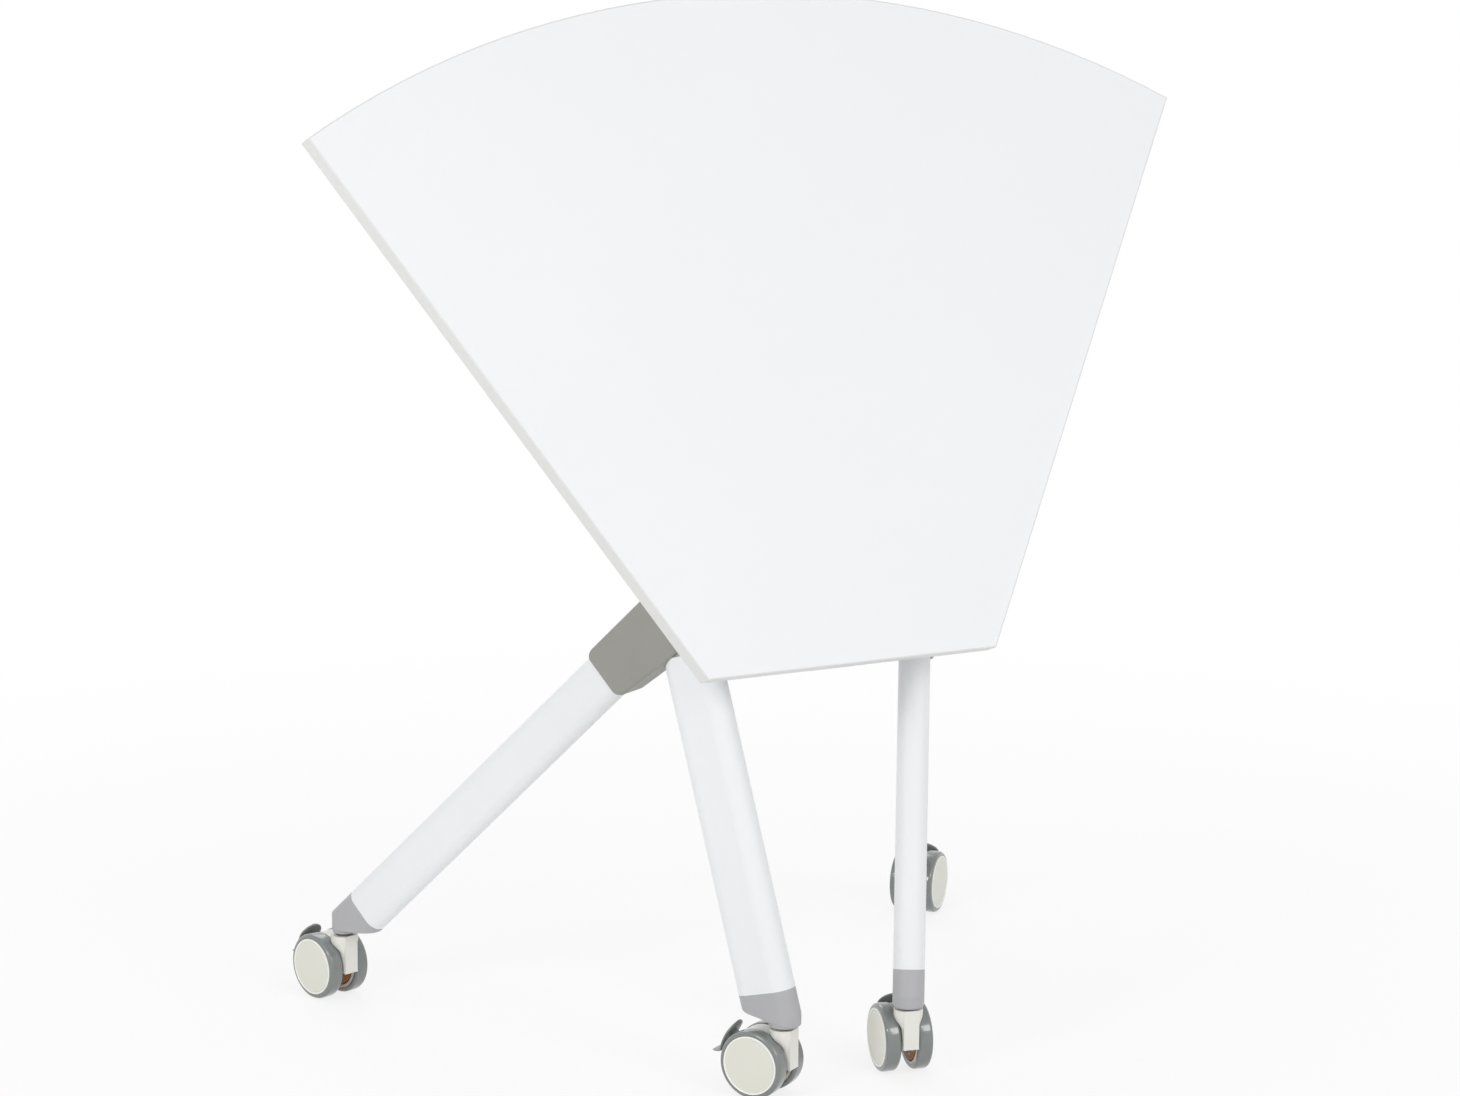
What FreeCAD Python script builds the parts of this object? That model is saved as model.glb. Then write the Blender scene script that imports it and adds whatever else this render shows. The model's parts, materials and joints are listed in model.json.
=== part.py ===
import FreeCAD, Part
import math
import os
import re

import Sketcher
from FreeCAD import Vector

# A flip-top desk: a sector-shaped top that turns about a beam between two leg sets on casters.
# X is to the right, Y to the rear, Z up. The top is modelled as it is stored, swung up.

# Driving sizes, in millimetres and degrees
SIZES = {
    # Top
    "sector_half_angle": 30,
    "outer_radius": 1200,
    "inner_radius": 400,
    "top_thickness": 25,
    "band_thickness": 2,
    "band_edge_radius": 1.5,
    "fold_angle": 67.7,
    "pivot_setback": 111,
    "pivot_drop": 86,
    # Leg sets: places are along each set's own upright plane, from its front caster stem
    "front_stem_spread": 88,
    "front_stem_setback": 330.5,
    "stem_gap": 688,
    "apex_reach": 156,
    "apex_height": 606,
    "front_leg_width": 78,
    "front_leg_depth": 40,
    "rear_leg_width": 64,
    "rear_leg_depth": 36,
    "leg_wall": 1.5,
    "leg_parting": 4,
    "front_foot_reach": 25.3,
    "front_foot_height": 133.4,
    "rear_foot_reach": 41,
    "rear_foot_height": 130.5,
    "plug_length": 30,
    "plug_fit": 0.15,
    "hole_end": 1,
    "cut_reach": 320,
    # Foot caps
    "front_boss_radius": 19.5,
    "rear_boss_radius": 15.2,
    "boss_rounding": 1.5,
    "boss_bottom": 93,
    "sole_height": 98.5,
    "front_sole_rise": 9,
    "rear_sole_rise": 4,
    "front_heel_reach": 21.5,
    "rear_heel_reach": 15.5,
    "cap_rounding": 0.6,
    "toe_radius": 20,
    "toe_lip": 2,
    # Apex: hub, covers and beam
    "hub_radius": 36,
    "hub_width": 32,
    "hub_spigot_length": 45,
    "beam_radius": 25,
    "beam_wall": 2.5,
    "beam_socket_length": 30,
    "beam_fit": 0.1,
    "cover_radius": 44,
    "cover_half_width": 24.5,
    "cover_wall": 2.5,
    "cover_lap": 6,
    "cover_rear_reach": 150,
    "cover_front_reach": 76,
    "cover_front_drop": 6,
    "cover_rounding": 5,
    "cover_corner": 15,
    "cover_fit": 0.25,
    "cover_seam": 0.4,
    "cover_screw_radius": 2,
    "cover_screw_head": 3.6,
    "cover_screw_bite": 10,
    "cover_screw_height": 30.5,
    # Top brackets
    "bracket_place": 68,
    "bracket_width": 40,
    "cheek_thickness": 5,
    "flange_width": 70,
    "flange_thickness": 5,
    "bracket_front": 98,
    "bracket_rear": 430,
    "bracket_waist": 150,
    "bracket_tip_height": 9,
    "collar_radius": 36,
    "cheek_angle": 30,
    "bush_wall": 3,
    "running_fit": 0.06,
    "window_radius": 13,
    "screw_radius": 2.5,
    "screw_head_radius": 5,
    "screw_head_height": 3,
    "screw_bite": 14,
    "screw_offset": 27,
    # Lock and latch
    "lock_place": 43,
    "lock_thickness": 6,
    "lock_radius": 59,
    "lock_ring_radius": 34,
    "lock_arc": 66,
    "lock_depth": 8.5,
    "tooth_tip": 8,
    "tooth_root": 11,
    "tooth_slack": 2,
    "tooth_gap": 1,
    "latch_back": 64,
    "latch_rise": 38,
    "latch_radius": 6,
    "latch_overhang": 5,
    "latch_travel": 17,
    "pawl_eye_radius": 11,
    "lever_length": 38,
    "lever_width": 64,
    "lever_thickness": 4,
    "lever_lip": 5,
    "spring_wire": 1.6,
    "spring_turns": 5,
    "spring_pitch": 2.6,
    "spring_leg": 22,
    "spring_clearance": 0.4,
    # Casters: places are from the stem, with the wheels trailing
    "heading_front_left": 122,
    "heading_front_right": 79,
    "heading_rear_left": 106.5,
    "heading_rear_right": 43,
    "wheel_radius": 43.5,
    "disc_radius": 37.4,
    "rim_thickness": 4,
    "disc_bevel": 1,
    "disc_thickness": 2.4,
    "wheel_hub_radius": 8,
    "caster_width": 64,
    "web_thickness": 20,
    "wheel_gap": 0.8,
    "tread_rounding": 4.5,
    "trail": 31,
    "axle_radius": 4,
    "stem_radius": 5.5,
    "stem_collar_radius": 11,
    "stem_bite": 28,
    "stem_drop": 38,
    "housing_top": 90,
    "post_radius": 15,
    "post_width": 36,
    "post_corner": 13,
    "post_bottom": 39,
    "neck_top": 82,
    "neck_shoulder": 76,
    "neck_shoulder_width": 33,
    "neck_waist": 67,
    "neck_waist_width": 23,
    "neck_bottom": 60,
    "neck_corner": 8,
    "hood_radius": 42,
    "hood_end": 14,
    "brake_hub_radius": 32,
    "brake_hub_width": 5,
    "brake_hole_radius": 2.6,
    "brake_hole_place": 24,
    "brake_hole_count": 10,
    "pedal_angle": 33,
    "pedal_radius": 52,
    "pedal_thickness": 4,
    "pedal_upper": 20,
    "pedal_lower": 30,
    "pedal_width": 34,
    "pedal_lip": 4,
    "pedal_crown_flat": 1,
    "pedal_pivot": 31,
    "pedal_lug": 7.4,
    "pedal_slot_gap": 0.6,
    "trunnion_radius": 2.5,
}

# Places worked out from the sizes
LAYOUT = {
    "front_stem_y": "-front_stem_setback",
    "rear_stem_x": "front_stem_spread + stem_gap * sin(sector_half_angle)",
    "rear_stem_y": "front_stem_y + stem_gap * cos(sector_half_angle)",
    "apex_x": "front_stem_spread + apex_reach * sin(sector_half_angle)",
    "pivot_y": "front_stem_y + apex_reach * cos(sector_half_angle)",
    "rear_foot_place": "stem_gap - rear_foot_reach",
    "front_lean": "atan2(apex_reach - front_foot_reach; apex_height - front_foot_height) / (1 deg)",
    "rear_lean": "atan2(rear_foot_place - apex_reach; apex_height - rear_foot_height) / (1 deg)",
    "legs_angle": "front_lean + rear_lean",
    "front_leg_half": "front_leg_width / 2",
    "rear_leg_half": "rear_leg_width / 2",
    "front_leg_top": "leg_parting + rear_leg_half / sin(legs_angle) + front_leg_half / tan(legs_angle)",
    "rear_leg_top": "leg_parting + front_leg_half / sin(legs_angle) + rear_leg_half / tan(legs_angle)",
    "front_leg_run": "hypot(apex_reach - front_foot_reach; apex_height - front_foot_height)",
    "rear_leg_run": "hypot(rear_foot_place - apex_reach; apex_height - rear_foot_height)",
    "front_toe_angle": "front_sole_rise + front_lean",
    "front_toe_room": "front_foot_reach * cos(front_lean)"
                      " + (sole_height - front_foot_height) * sin(front_lean)",
    "front_sole_run": "(front_leg_half + toe_lip + front_toe_room - toe_radius * (1 - sin(front_toe_angle)))"
                      " / cos(front_toe_angle)",
    "front_toe_x": "front_sole_run * cos(front_sole_rise) - toe_radius * sin(front_sole_rise)",
    "front_toe_z": "sole_height + front_sole_run * sin(front_sole_rise) + toe_radius * cos(front_sole_rise)",
    "rear_toe_angle": "rear_sole_rise + rear_lean",
    "rear_toe_room": "rear_foot_reach * cos(rear_lean)"
                      " + (sole_height - rear_foot_height) * sin(rear_lean)",
    "rear_sole_run": "(rear_leg_half + toe_lip + rear_toe_room - toe_radius * (1 - sin(rear_toe_angle)))"
                      " / cos(rear_toe_angle)",
    "rear_toe_x": "rear_sole_run * cos(rear_sole_rise) - toe_radius * sin(rear_sole_rise)",
    "rear_toe_z": "sole_height + rear_sole_run * sin(rear_sole_rise) + toe_radius * cos(rear_sole_rise)",
    "cover_rear_half": "rear_leg_width / 2 + cover_lap",
    "collar_bore": "beam_radius + bush_wall",
    "flange_bottom": "pivot_drop - flange_thickness",
    "lock_mid": "180 + fold_angle / 2",
    "tooth_reach": "latch_back - lock_radius + lock_depth - tooth_gap",
    "axle_y_inner": "web_thickness / 2 + wheel_gap",
    "pedal_pivot_x": "trail + pedal_pivot * cos(pedal_angle)",
    "pedal_pivot_z": "wheel_radius + pedal_pivot * sin(pedal_angle)",
}

TOP_PLACE = "placement(vector(0; pivot_y; apex_height); rotation(vector(1; 0; 0); fold_angle))"
BEAM_PLACE = "placement(vector(0; pivot_y; apex_height); rotation(vector(1; 0; 0); 0))"
SET_PLACE = ("placement(vector(-front_stem_spread; front_stem_y; 0);"
             " rotation(vector(0; 0; 1); 90 + sector_half_angle))")
LATCH_PLACE = ("placement(vector(0;"
               " pivot_y - latch_back * cos(fold_angle) - latch_rise * sin(fold_angle);"
               " apex_height - latch_back * sin(fold_angle) + latch_rise * cos(fold_angle));"
               " rotation(vector(1; 0; 0); fold_angle - latch_travel))")

PEDAL_TURN = "placement(vector(trail; wheel_radius; 0); rotation(vector(0; 0; 1); pedal_angle))"

# How near two places are that count as the same
NEAR = 0.01

doc = FreeCAD.newDocument("folding_desk")
sheet = doc.addObject("Spreadsheet::Sheet", "Sizes")
layout = doc.addObject("Spreadsheet::Sheet", "Layout")
parts = []


def cells(text, own_sheet=""):
    """Write each bare name of a size or place in a formula as its cell."""
    def cell(match):
        word = match.group(0)
        if word in SIZES:
            return "Sizes." + word
        if word in LAYOUT and own_sheet != "Layout":
            return "Layout." + word
        return word
    return re.sub(r"[a-z][a-z0-9_]*", cell, text)


def fill_sheets():
    for row, (name, number) in enumerate(SIZES.items(), start=1):
        sheet.set(f"A{row}", name)
        sheet.set(f"B{row}", str(number))
        sheet.setAlias(f"B{row}", name)
    for row, name in enumerate(LAYOUT, start=1):
        layout.set(f"A{row}", name)
        layout.setAlias(f"B{row}", name)
    doc.recompute()
    for row, formula in enumerate(LAYOUT.values(), start=1):
        layout.set(f"B{row}", "=" + cells(formula, "Layout"))
    doc.recompute()


def value(text):
    result = sheet.evalExpression(cells(text))
    return float(getattr(result, "Value", result))


def bind(item, **formulas):
    for name, formula in formulas.items():
        item.setExpression(name, cells(formula))


def new_body(label, place=None):
    body = doc.addObject("PartDesign::Body", label)
    body.Label = label
    if place:
        bind(body, Placement=place)
    return body


def new_sketch(body, role, offset=None):
    sketch = body.newObject("Sketcher::SketchObject", body.Name + "_sketch")
    plane = next(item for item in body.Origin.OriginFeatures if item.Role == role)
    sketch.AttachmentSupport = [(plane, "")]
    sketch.MapMode = "FlatFace"
    if offset:
        bind(sketch, AttachmentOffset=offset)
    return sketch


def shift(x, y, z):
    return f"placement(vector({x}; {y}; {z}); rotation(vector(0; 0; 1); 0))"


def pin(sketch, geometry, position, x=None, y=None):
    """Hold a sketch point at a place given by formulas."""
    for kind, formula, axis in (("DistanceX", x, -2), ("DistanceY", y, -1)):
        if formula is None:
            continue
        if formula == "0":
            sketch.addConstraint(Sketcher.Constraint("PointOnObject", geometry, position, axis))
            continue
        held = Sketcher.Constraint(kind, -1, 1, geometry, position, value(formula))
        number = sketch.addConstraint(held)
        sketch.setExpression(f"Constraints[{number}]", cells(formula))


def add_circle(sketch, x, y, radius):
    centre = Vector(value(x), value(y), 0)
    number = sketch.addGeometry(Part.Circle(centre, Vector(0, 0, 1), value(radius)), False)
    pin(sketch, number, 3, x, y)
    held = sketch.addConstraint(Sketcher.Constraint("Radius", number, value(radius)))
    sketch.setExpression(f"Constraints[{held}]", cells(radius))


def add_loop(sketch, corners):
    """Draw a closed outline. A corner is (x, y), or (x, y, centre x, centre y, turn) where an arc starts,
    with turn 1 for anticlockwise and -1 for clockwise."""
    points = [Vector(value(corner[0]), value(corner[1]), 0) for corner in corners]
    count = len(corners)
    ends = []
    for index, corner in enumerate(corners):
        start = points[index]
        finish = points[(index + 1) % count]
        if len(corner) == 2:
            number = sketch.addGeometry(Part.LineSegment(start, finish), False)
            ends.append((number, 1, 2))
            continue
        centre = Vector(value(corner[2]), value(corner[3]), 0)
        first, last = (start, finish) if corner[4] > 0 else (finish, start)
        circle = Part.Circle(centre, Vector(0, 0, 1), (start - centre).Length)
        from_angle = math.atan2(first.y - centre.y, first.x - centre.x)
        to_angle = math.atan2(last.y - centre.y, last.x - centre.x)
        number = sketch.addGeometry(Part.ArcOfCircle(circle, from_angle, to_angle), False)
        ends.append((number, 1, 2) if corner[4] > 0 else (number, 2, 1))
        pin(sketch, number, 3, corner[2], corner[3])
    for index in range(count):
        number, _, finish = ends[index]
        following, start, _ = ends[(index + 1) % count]
        sketch.addConstraint(Sketcher.Constraint("Coincident", number, finish, following, start))
    for index, corner in enumerate(corners):
        before = corners[index - 1]
        number, start, _ = ends[index]
        if len(before) == 2:
            pin(sketch, number, start, corner[0], corner[1])
            continue
        spoke = points[index] - Vector(value(before[2]), value(before[3]), 0)
        if abs(spoke.y) > abs(spoke.x):
            pin(sketch, number, start, x=corner[0])
        else:
            pin(sketch, number, start, y=corner[1])


def flat_oval(sketch, width, depth):
    """Two flats joined by half circles, as wide as the tube along the sketch's X."""
    half = f"(({width}) - ({depth})) / 2"
    radius = f"({depth}) / 2"
    add_loop(sketch, [
        (half, f"-({radius})", half, "0", 1),
        (half, radius),
        (f"-({half})", radius, f"-({half})", "0", 1),
        (f"-({half})", f"-({radius})"),
    ])


def round_box(sketch, length, width, corner):
    """A rectangle about the sketch's origin with rounded corners."""
    x = f"({length}) / 2"
    y = f"({width}) / 2"
    mid_x = f"({x} - {corner})"
    mid_y = f"({y} - {corner})"
    add_loop(sketch, [
        (mid_x, f"-{y}", mid_x, f"-{mid_y}", 1),
        (x, f"-{mid_y}"),
        (x, mid_y, mid_x, mid_y, 1),
        (mid_x, y),
        (f"-{mid_x}", y, f"-{mid_x}", mid_y, 1),
        (f"-{x}", mid_y),
        (f"-{x}", f"-{mid_y}", f"-{mid_x}", f"-{mid_y}", 1),
        (f"-{mid_x}", f"-{y}"),
    ])


def pad(body, sketch, length, backwards=False, both=False):
    feature = body.newObject("PartDesign::Pad", body.Name + "_pad")
    feature.Profile = sketch
    bind(feature, Length=length)
    feature.Midplane = both
    feature.Reversed = backwards
    return feature


def pocket(body, sketch, length, backwards=False, both=False):
    doc.recompute()
    before = body.Tip.Shape.Volume
    feature = body.newObject("PartDesign::Pocket", body.Name + "_pocket")
    feature.Profile = sketch
    bind(feature, Length=length)
    feature.Midplane = both
    feature.Reversed = backwards
    doc.recompute()
    if feature.Shape.Volume >= before - NEAR:
        raise RuntimeError(f"a cut of {body.Label} removes nothing")
    return feature


def revolve(body, sketch, axis):
    feature = body.newObject("PartDesign::Revolution", body.Name + "_turned")
    feature.Profile = sketch
    feature.ReferenceAxis = (sketch, [axis])
    feature.Angle = 360
    return feature


def fillet(body, radius, chosen):
    """Round the edges of the body that the test picks."""
    doc.recompute()
    tip = body.Tip
    names = [f"Edge{n}" for n, edge in enumerate(tip.Shape.Edges, start=1) if chosen(edge)]
    if not names:
        raise RuntimeError(f"no edge to round on {body.Label}")
    feature = body.newObject("PartDesign::Fillet", body.Name + "_fillet")
    feature.Base = (tip, names)
    bind(feature, Radius=radius)
    doc.recompute()
    return feature


def keep(item, label):
    item.Label = label
    parts.append(item)
    return item


def mirrored(item, label):
    twin = doc.addObject("Part::Mirroring", label)
    twin.Source = item
    twin.Normal = Vector(1, 0, 0)
    twin.Base = Vector(0, 0, 0)
    twin.Label = label
    return twin


def group(items, label):
    bundle = doc.addObject("Part::Compound", label)
    bundle.Links = items
    return keep(bundle, label)


def pair(item, label):
    """Keep a left piece and its mirror image on the right."""
    keep(item, label + "_left")
    return keep(mirrored(item, label + "_right"), label + "_right")


def cylinder(name, radius, height, place):
    item = doc.addObject("Part::Cylinder", name)
    bind(item, Radius=radius, Height=height, Placement=place)
    return item


def fused(name, base, tool, place=None):
    item = doc.addObject("Part::Fuse", name)
    item.Base = base
    item.Tool = tool
    if place:
        bind(item, Placement=place)
    return item


# Leg sets

def front_axis(place="0"):
    return (f"placement(vector(apex_reach - ({place}) * sin(front_lean); 0;"
            f" apex_height - ({place}) * cos(front_lean)); rotation(vector(0; 1; 0); front_lean))")


def rear_axis(place="0"):
    return (f"placement(vector(apex_reach + ({place}) * sin(rear_lean); 0;"
            f" apex_height - ({place}) * cos(rear_lean)); rotation(vector(0; 1; 0); -rear_lean))")


def leg(name, axis, end):
    """A flat-oval tube from its foot cap up to the hub."""
    body = new_body(f"{end}_leg", SET_PLACE)
    profile = new_sketch(body, "XY_Plane", axis(f"{end}_leg_run"))
    flat_oval(profile, f"{end}_leg_width", f"{end}_leg_depth")
    flat_oval(profile, f"{end}_leg_width - 2 * leg_wall", f"{end}_leg_depth - 2 * leg_wall")
    pad(body, profile, f"{end}_leg_run - {end}_leg_top")
    return pair(body, name)


def foot_cap(end, axis, stem, inward):
    """A moulded shoe: the leg's own section, cut to a sloping sole and a round heel, over a stem boss."""
    body = new_body(f"{end}_foot_cap", SET_PLACE)
    lean = f"{end}_lean"
    rise = f"{end}_sole_rise"
    joint = axis(f"{end}_leg_run")
    shoe = new_sketch(body, "XY_Plane", joint)
    flat_oval(shoe, f"{end}_leg_width", f"{end}_leg_depth")
    pad(body, shoe, f"{end}_foot_height", backwards=True)
    outside = f"{stem} - ({inward}) * cut_reach"
    inside = f"{stem} + ({inward}) * cut_reach"
    heel = new_sketch(body, "XY_Plane")
    heel_radius = f"{end}_leg_depth / 2"
    heel_middle = f"{stem} - ({inward}) * ({end}_heel_reach - {heel_radius})"
    add_loop(heel, [
        (heel_middle, f"-{heel_radius}", heel_middle, "0", -inward),
        (heel_middle, heel_radius),
        (heel_middle, "cut_reach"),
        (outside, "cut_reach"),
        (outside, "-cut_reach"),
        (heel_middle, "-cut_reach"),
    ])
    pocket(body, heel, "cut_reach", backwards=True)
    toe_x = f"{stem} + ({inward}) * {end}_toe_x"
    toe_top = f"{end}_toe_z - toe_radius * sin({lean})"
    sole = new_sketch(body, "XZ_Plane")
    add_loop(sole, [
        (outside, f"sole_height - cut_reach * tan({rise})"),
        (f"{stem} + ({inward}) * {end}_sole_run * cos({rise})",
         f"sole_height + {end}_sole_run * sin({rise})", toe_x, f"{end}_toe_z", inward),
        (f"{toe_x} + ({inward}) * toe_radius * cos({lean})", toe_top),
        (inside, toe_top),
        (inside, "-cut_reach"),
        (outside, "-cut_reach"),
    ])
    pocket(body, sole, "cut_reach", both=True)
    fillet(body, "cap_rounding", sole_rim(body, rise))
    boss = new_sketch(body, "XY_Plane", shift("0", "0", "boss_bottom"))
    add_circle(boss, stem, "0", f"{end}_boss_radius")
    pad(body, boss, f"sole_height - boss_bottom + {end}_leg_depth / 4")
    low = value("boss_bottom")
    fillet(body, "boss_rounding", lambda edge: abs(edge.BoundBox.ZMax - low) < NEAR)
    plug = new_sketch(body, "XY_Plane", joint)
    trim = "2 * (leg_wall + plug_fit)"
    flat_oval(plug, f"{end}_leg_width - {trim}", f"{end}_leg_depth - {trim}")
    pad(body, plug, "plug_length")
    bore = new_sketch(body, "XY_Plane", shift("0", "0", "boss_bottom"))
    add_circle(bore, stem, "0", "stem_radius + plug_fit")
    pocket(body, bore, "stem_bite + hole_end", backwards=True)
    return pair(body, f"{end}_foot_cap")


def sole_rim(body, rise):
    """A test for the edges round the sole: those of its flat and of its toe, but not the one between them."""
    doc.recompute()
    middles = []
    for face in body.Tip.Shape.Faces:
        kind = face.Surface
        if isinstance(kind, Part.Plane):
            slope = math.degrees(math.atan2(abs(kind.Axis.x), abs(kind.Axis.z)))
            below = abs(kind.Axis.y) < NEAR and abs(slope - value(rise)) < NEAR
        elif isinstance(kind, Part.Cylinder):
            below = abs(kind.Axis.y) > 1 - NEAR and abs(kind.Radius - value("toe_radius")) < NEAR
        else:
            below = False
        if below:
            middles += [edge.CenterOfMass for edge in face.Edges]
    return lambda edge: sum(edge.CenterOfMass.distanceToPoint(middle) < NEAR for middle in middles) == 1


def apex_hub():
    """A casting with a spigot for each leg and one for the beam."""
    body = new_body("apex_hub", SET_PLACE)
    disc = new_sketch(body, "XZ_Plane")
    add_circle(disc, "apex_reach", "apex_height", "hub_radius")
    pad(body, disc, "hub_width", both=True)
    trim = "2 * (leg_wall + plug_fit)"
    for end, axis in (("front", front_axis), ("rear", rear_axis)):
        spigot = new_sketch(body, "XY_Plane", axis())
        flat_oval(spigot, f"{end}_leg_width - {trim}", f"{end}_leg_depth - {trim}")
        pad(body, spigot, f"{end}_leg_top + hub_spigot_length", backwards=True)
    socket = new_sketch(body, "XZ_Plane", beam_direction())
    add_circle(socket, "0", "0", "beam_radius - beam_wall - beam_fit")
    pad(body, socket, "hub_width / 2 / cos(sector_half_angle) + beam_socket_length")
    for side in (1, -1):
        hole = new_sketch(body, "XZ_Plane", shift("0", "0", "front_leg_depth / 2"))
        add_circle(hole, "apex_reach", f"apex_height + ({side}) * cover_screw_height",
                   "cover_screw_radius + plug_fit")
        pocket(body, hole, "(front_leg_depth - hub_width) / 2 + cover_screw_bite + hole_end")
    return pair(body, "apex_hub")


def beam_direction():
    return ("placement(vector(apex_reach; apex_height; 0);"
            " rotation(vector(0; 1; 0); -sector_half_angle))")


def cover_outline(inset):
    """The cover's side view, shrunk by the inset: a round head, a long rear sleeve and a short front one."""
    def rear(along, across):
        return (f"apex_reach + ({along}) * sin(rear_lean) + ({across}) * cos(rear_lean)",
                f"apex_height - ({along}) * cos(rear_lean) + ({across}) * sin(rear_lean)")

    def front(along, across):
        return (f"apex_reach - ({along}) * sin(front_lean) + ({across}) * cos(front_lean)",
                f"apex_height - ({along}) * cos(front_lean) - ({across}) * sin(front_lean)")

    radius = f"(cover_radius - {inset})"
    rear_half = f"(cover_rear_half - {inset})"
    reach = f"(cover_rear_reach - {inset})"
    taper = f"(atan2({reach}; {rear_half}) - acos({radius} / hypot({reach}; {rear_half}))) / (1 deg)"
    touch = f"(rear_lean - {taper})"
    head_rear = (f"apex_reach + {radius} * cos({touch})", f"apex_height + {radius} * sin({touch})")
    head_front = front("0", f"-{radius}")
    return [
        (*head_rear, "apex_reach", "apex_height", 1),
        head_front,
        front(f"cover_front_reach - cover_front_drop - {inset}", f"-{radius}"),
        front(f"cover_front_reach - {inset}", radius),
        rear(reach, f"-{rear_half}"),
        rear(reach, rear_half),
    ]


def cover_half(side):
    """One half of the apex cover, a thin shell from the seam out."""
    outer = side == "outer"
    body = new_body(f"hinge_cover_{side}", SET_PLACE)
    seam = "-cover_seam / 2" if outer else "cover_seam / 2"
    face = new_sketch(body, "XZ_Plane", shift("0", "0", seam))
    add_loop(face, cover_outline("0"))
    pad(body, face, "cover_half_width - cover_seam / 2", backwards=outer)
    sign = 1 if outer else -1
    fillet(body, "cover_corner", sleeve_corner)
    wall = sign * value("cover_half_width")
    fillet(body, "cover_rounding",
           lambda edge: max(abs(edge.BoundBox.YMin - wall), abs(edge.BoundBox.YMax - wall)) < NEAR)
    hollow = new_sketch(body, "XZ_Plane", shift("0", "0", seam))
    add_loop(hollow, cover_outline("cover_wall"))
    pocket(body, hollow, "cover_half_width - cover_seam / 2 - cover_wall", backwards=not outer)
    for end, axis in (("front", front_axis), ("rear", rear_axis)):
        opening = new_sketch(body, "XY_Plane", axis())
        flat_oval(opening, f"{end}_leg_width + 2 * cover_fit", f"{end}_leg_depth + 2 * cover_fit")
        pocket(body, opening, "cut_reach")
    if not outer:
        passage = new_sketch(body, "XZ_Plane", beam_direction())
        add_circle(passage, "0", "0", "beam_radius + cover_fit")
        pocket(body, passage, "cut_reach", backwards=True)
        for rise in (1, -1):
            hole = new_sketch(body, "XZ_Plane", shift("0", "0", "cover_half_width"))
            add_circle(hole, "apex_reach", f"apex_height + ({rise}) * cover_screw_height",
                       "cover_screw_radius + plug_fit")
            pocket(body, hole, "cover_wall + hole_end")
    return pair(body, f"hinge_cover_{side}")


def sleeve_corner(edge):
    """The upright edges at the rear sleeve's two end corners."""
    if edge.BoundBox.XLength > NEAR or edge.BoundBox.ZLength > NEAR:
        return False
    along = ((edge.CenterOfMass.x - value("apex_reach")) * math.sin(math.radians(value("rear_lean")))
             - (edge.CenterOfMass.z - value("apex_height")) * math.cos(math.radians(value("rear_lean"))))
    return abs(along - value("cover_rear_reach")) < NEAR


def cover_screws():
    """Two screws from each inner cover half into its hub."""
    screws = []
    for rise in (1, -1):
        place = ("placement(vector(apex_reach; -cover_half_width;"
                 f" apex_height + ({rise}) * cover_screw_height); rotation(vector(1; 0; 0); -90))")
        shank = cylinder("cover_screw_shank", "cover_screw_radius",
                         "cover_half_width - hub_width / 2 + cover_screw_bite", place)
        head_place = place.replace("-cover_half_width", "-cover_half_width - cover_screw_radius")
        head = cylinder("cover_screw_head", "cover_screw_head", "cover_screw_radius", head_place)
        screw = fused("cover_screw", head, shank, SET_PLACE)
        screws += [screw, mirrored(screw, "cover_screw_right")]
    return group(screws, "cover_screws")


def cross_beam():
    """A round tube with ends cut to the faces of the slanted hubs."""
    body = new_body("cross_beam", BEAM_PLACE)
    ring = new_sketch(body, "YZ_Plane")
    add_circle(ring, "0", "0", "beam_radius")
    add_circle(ring, "0", "0", "beam_radius - beam_wall")
    pad(body, ring, "2 * apex_x", both=True)
    foot = "(apex_x - front_leg_depth / 2 / cos(sector_half_angle))"
    slant = "2 * beam_radius * tan(sector_half_angle)"
    for side in (1, -1):
        cut = new_sketch(body, "XY_Plane")
        corners = [
            (f"({side}) * ({foot} + {slant})", "2 * beam_radius"),
            (f"({side}) * ({foot} - {slant})", "-2 * beam_radius"),
            (f"({side}) * 2 * apex_x", "-2 * beam_radius"),
            (f"({side}) * 2 * apex_x", "2 * beam_radius"),
        ]
        add_loop(cut, corners)
        pocket(body, cut, "cut_reach", both=True)
    return keep(body, "cross_beam")


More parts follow.
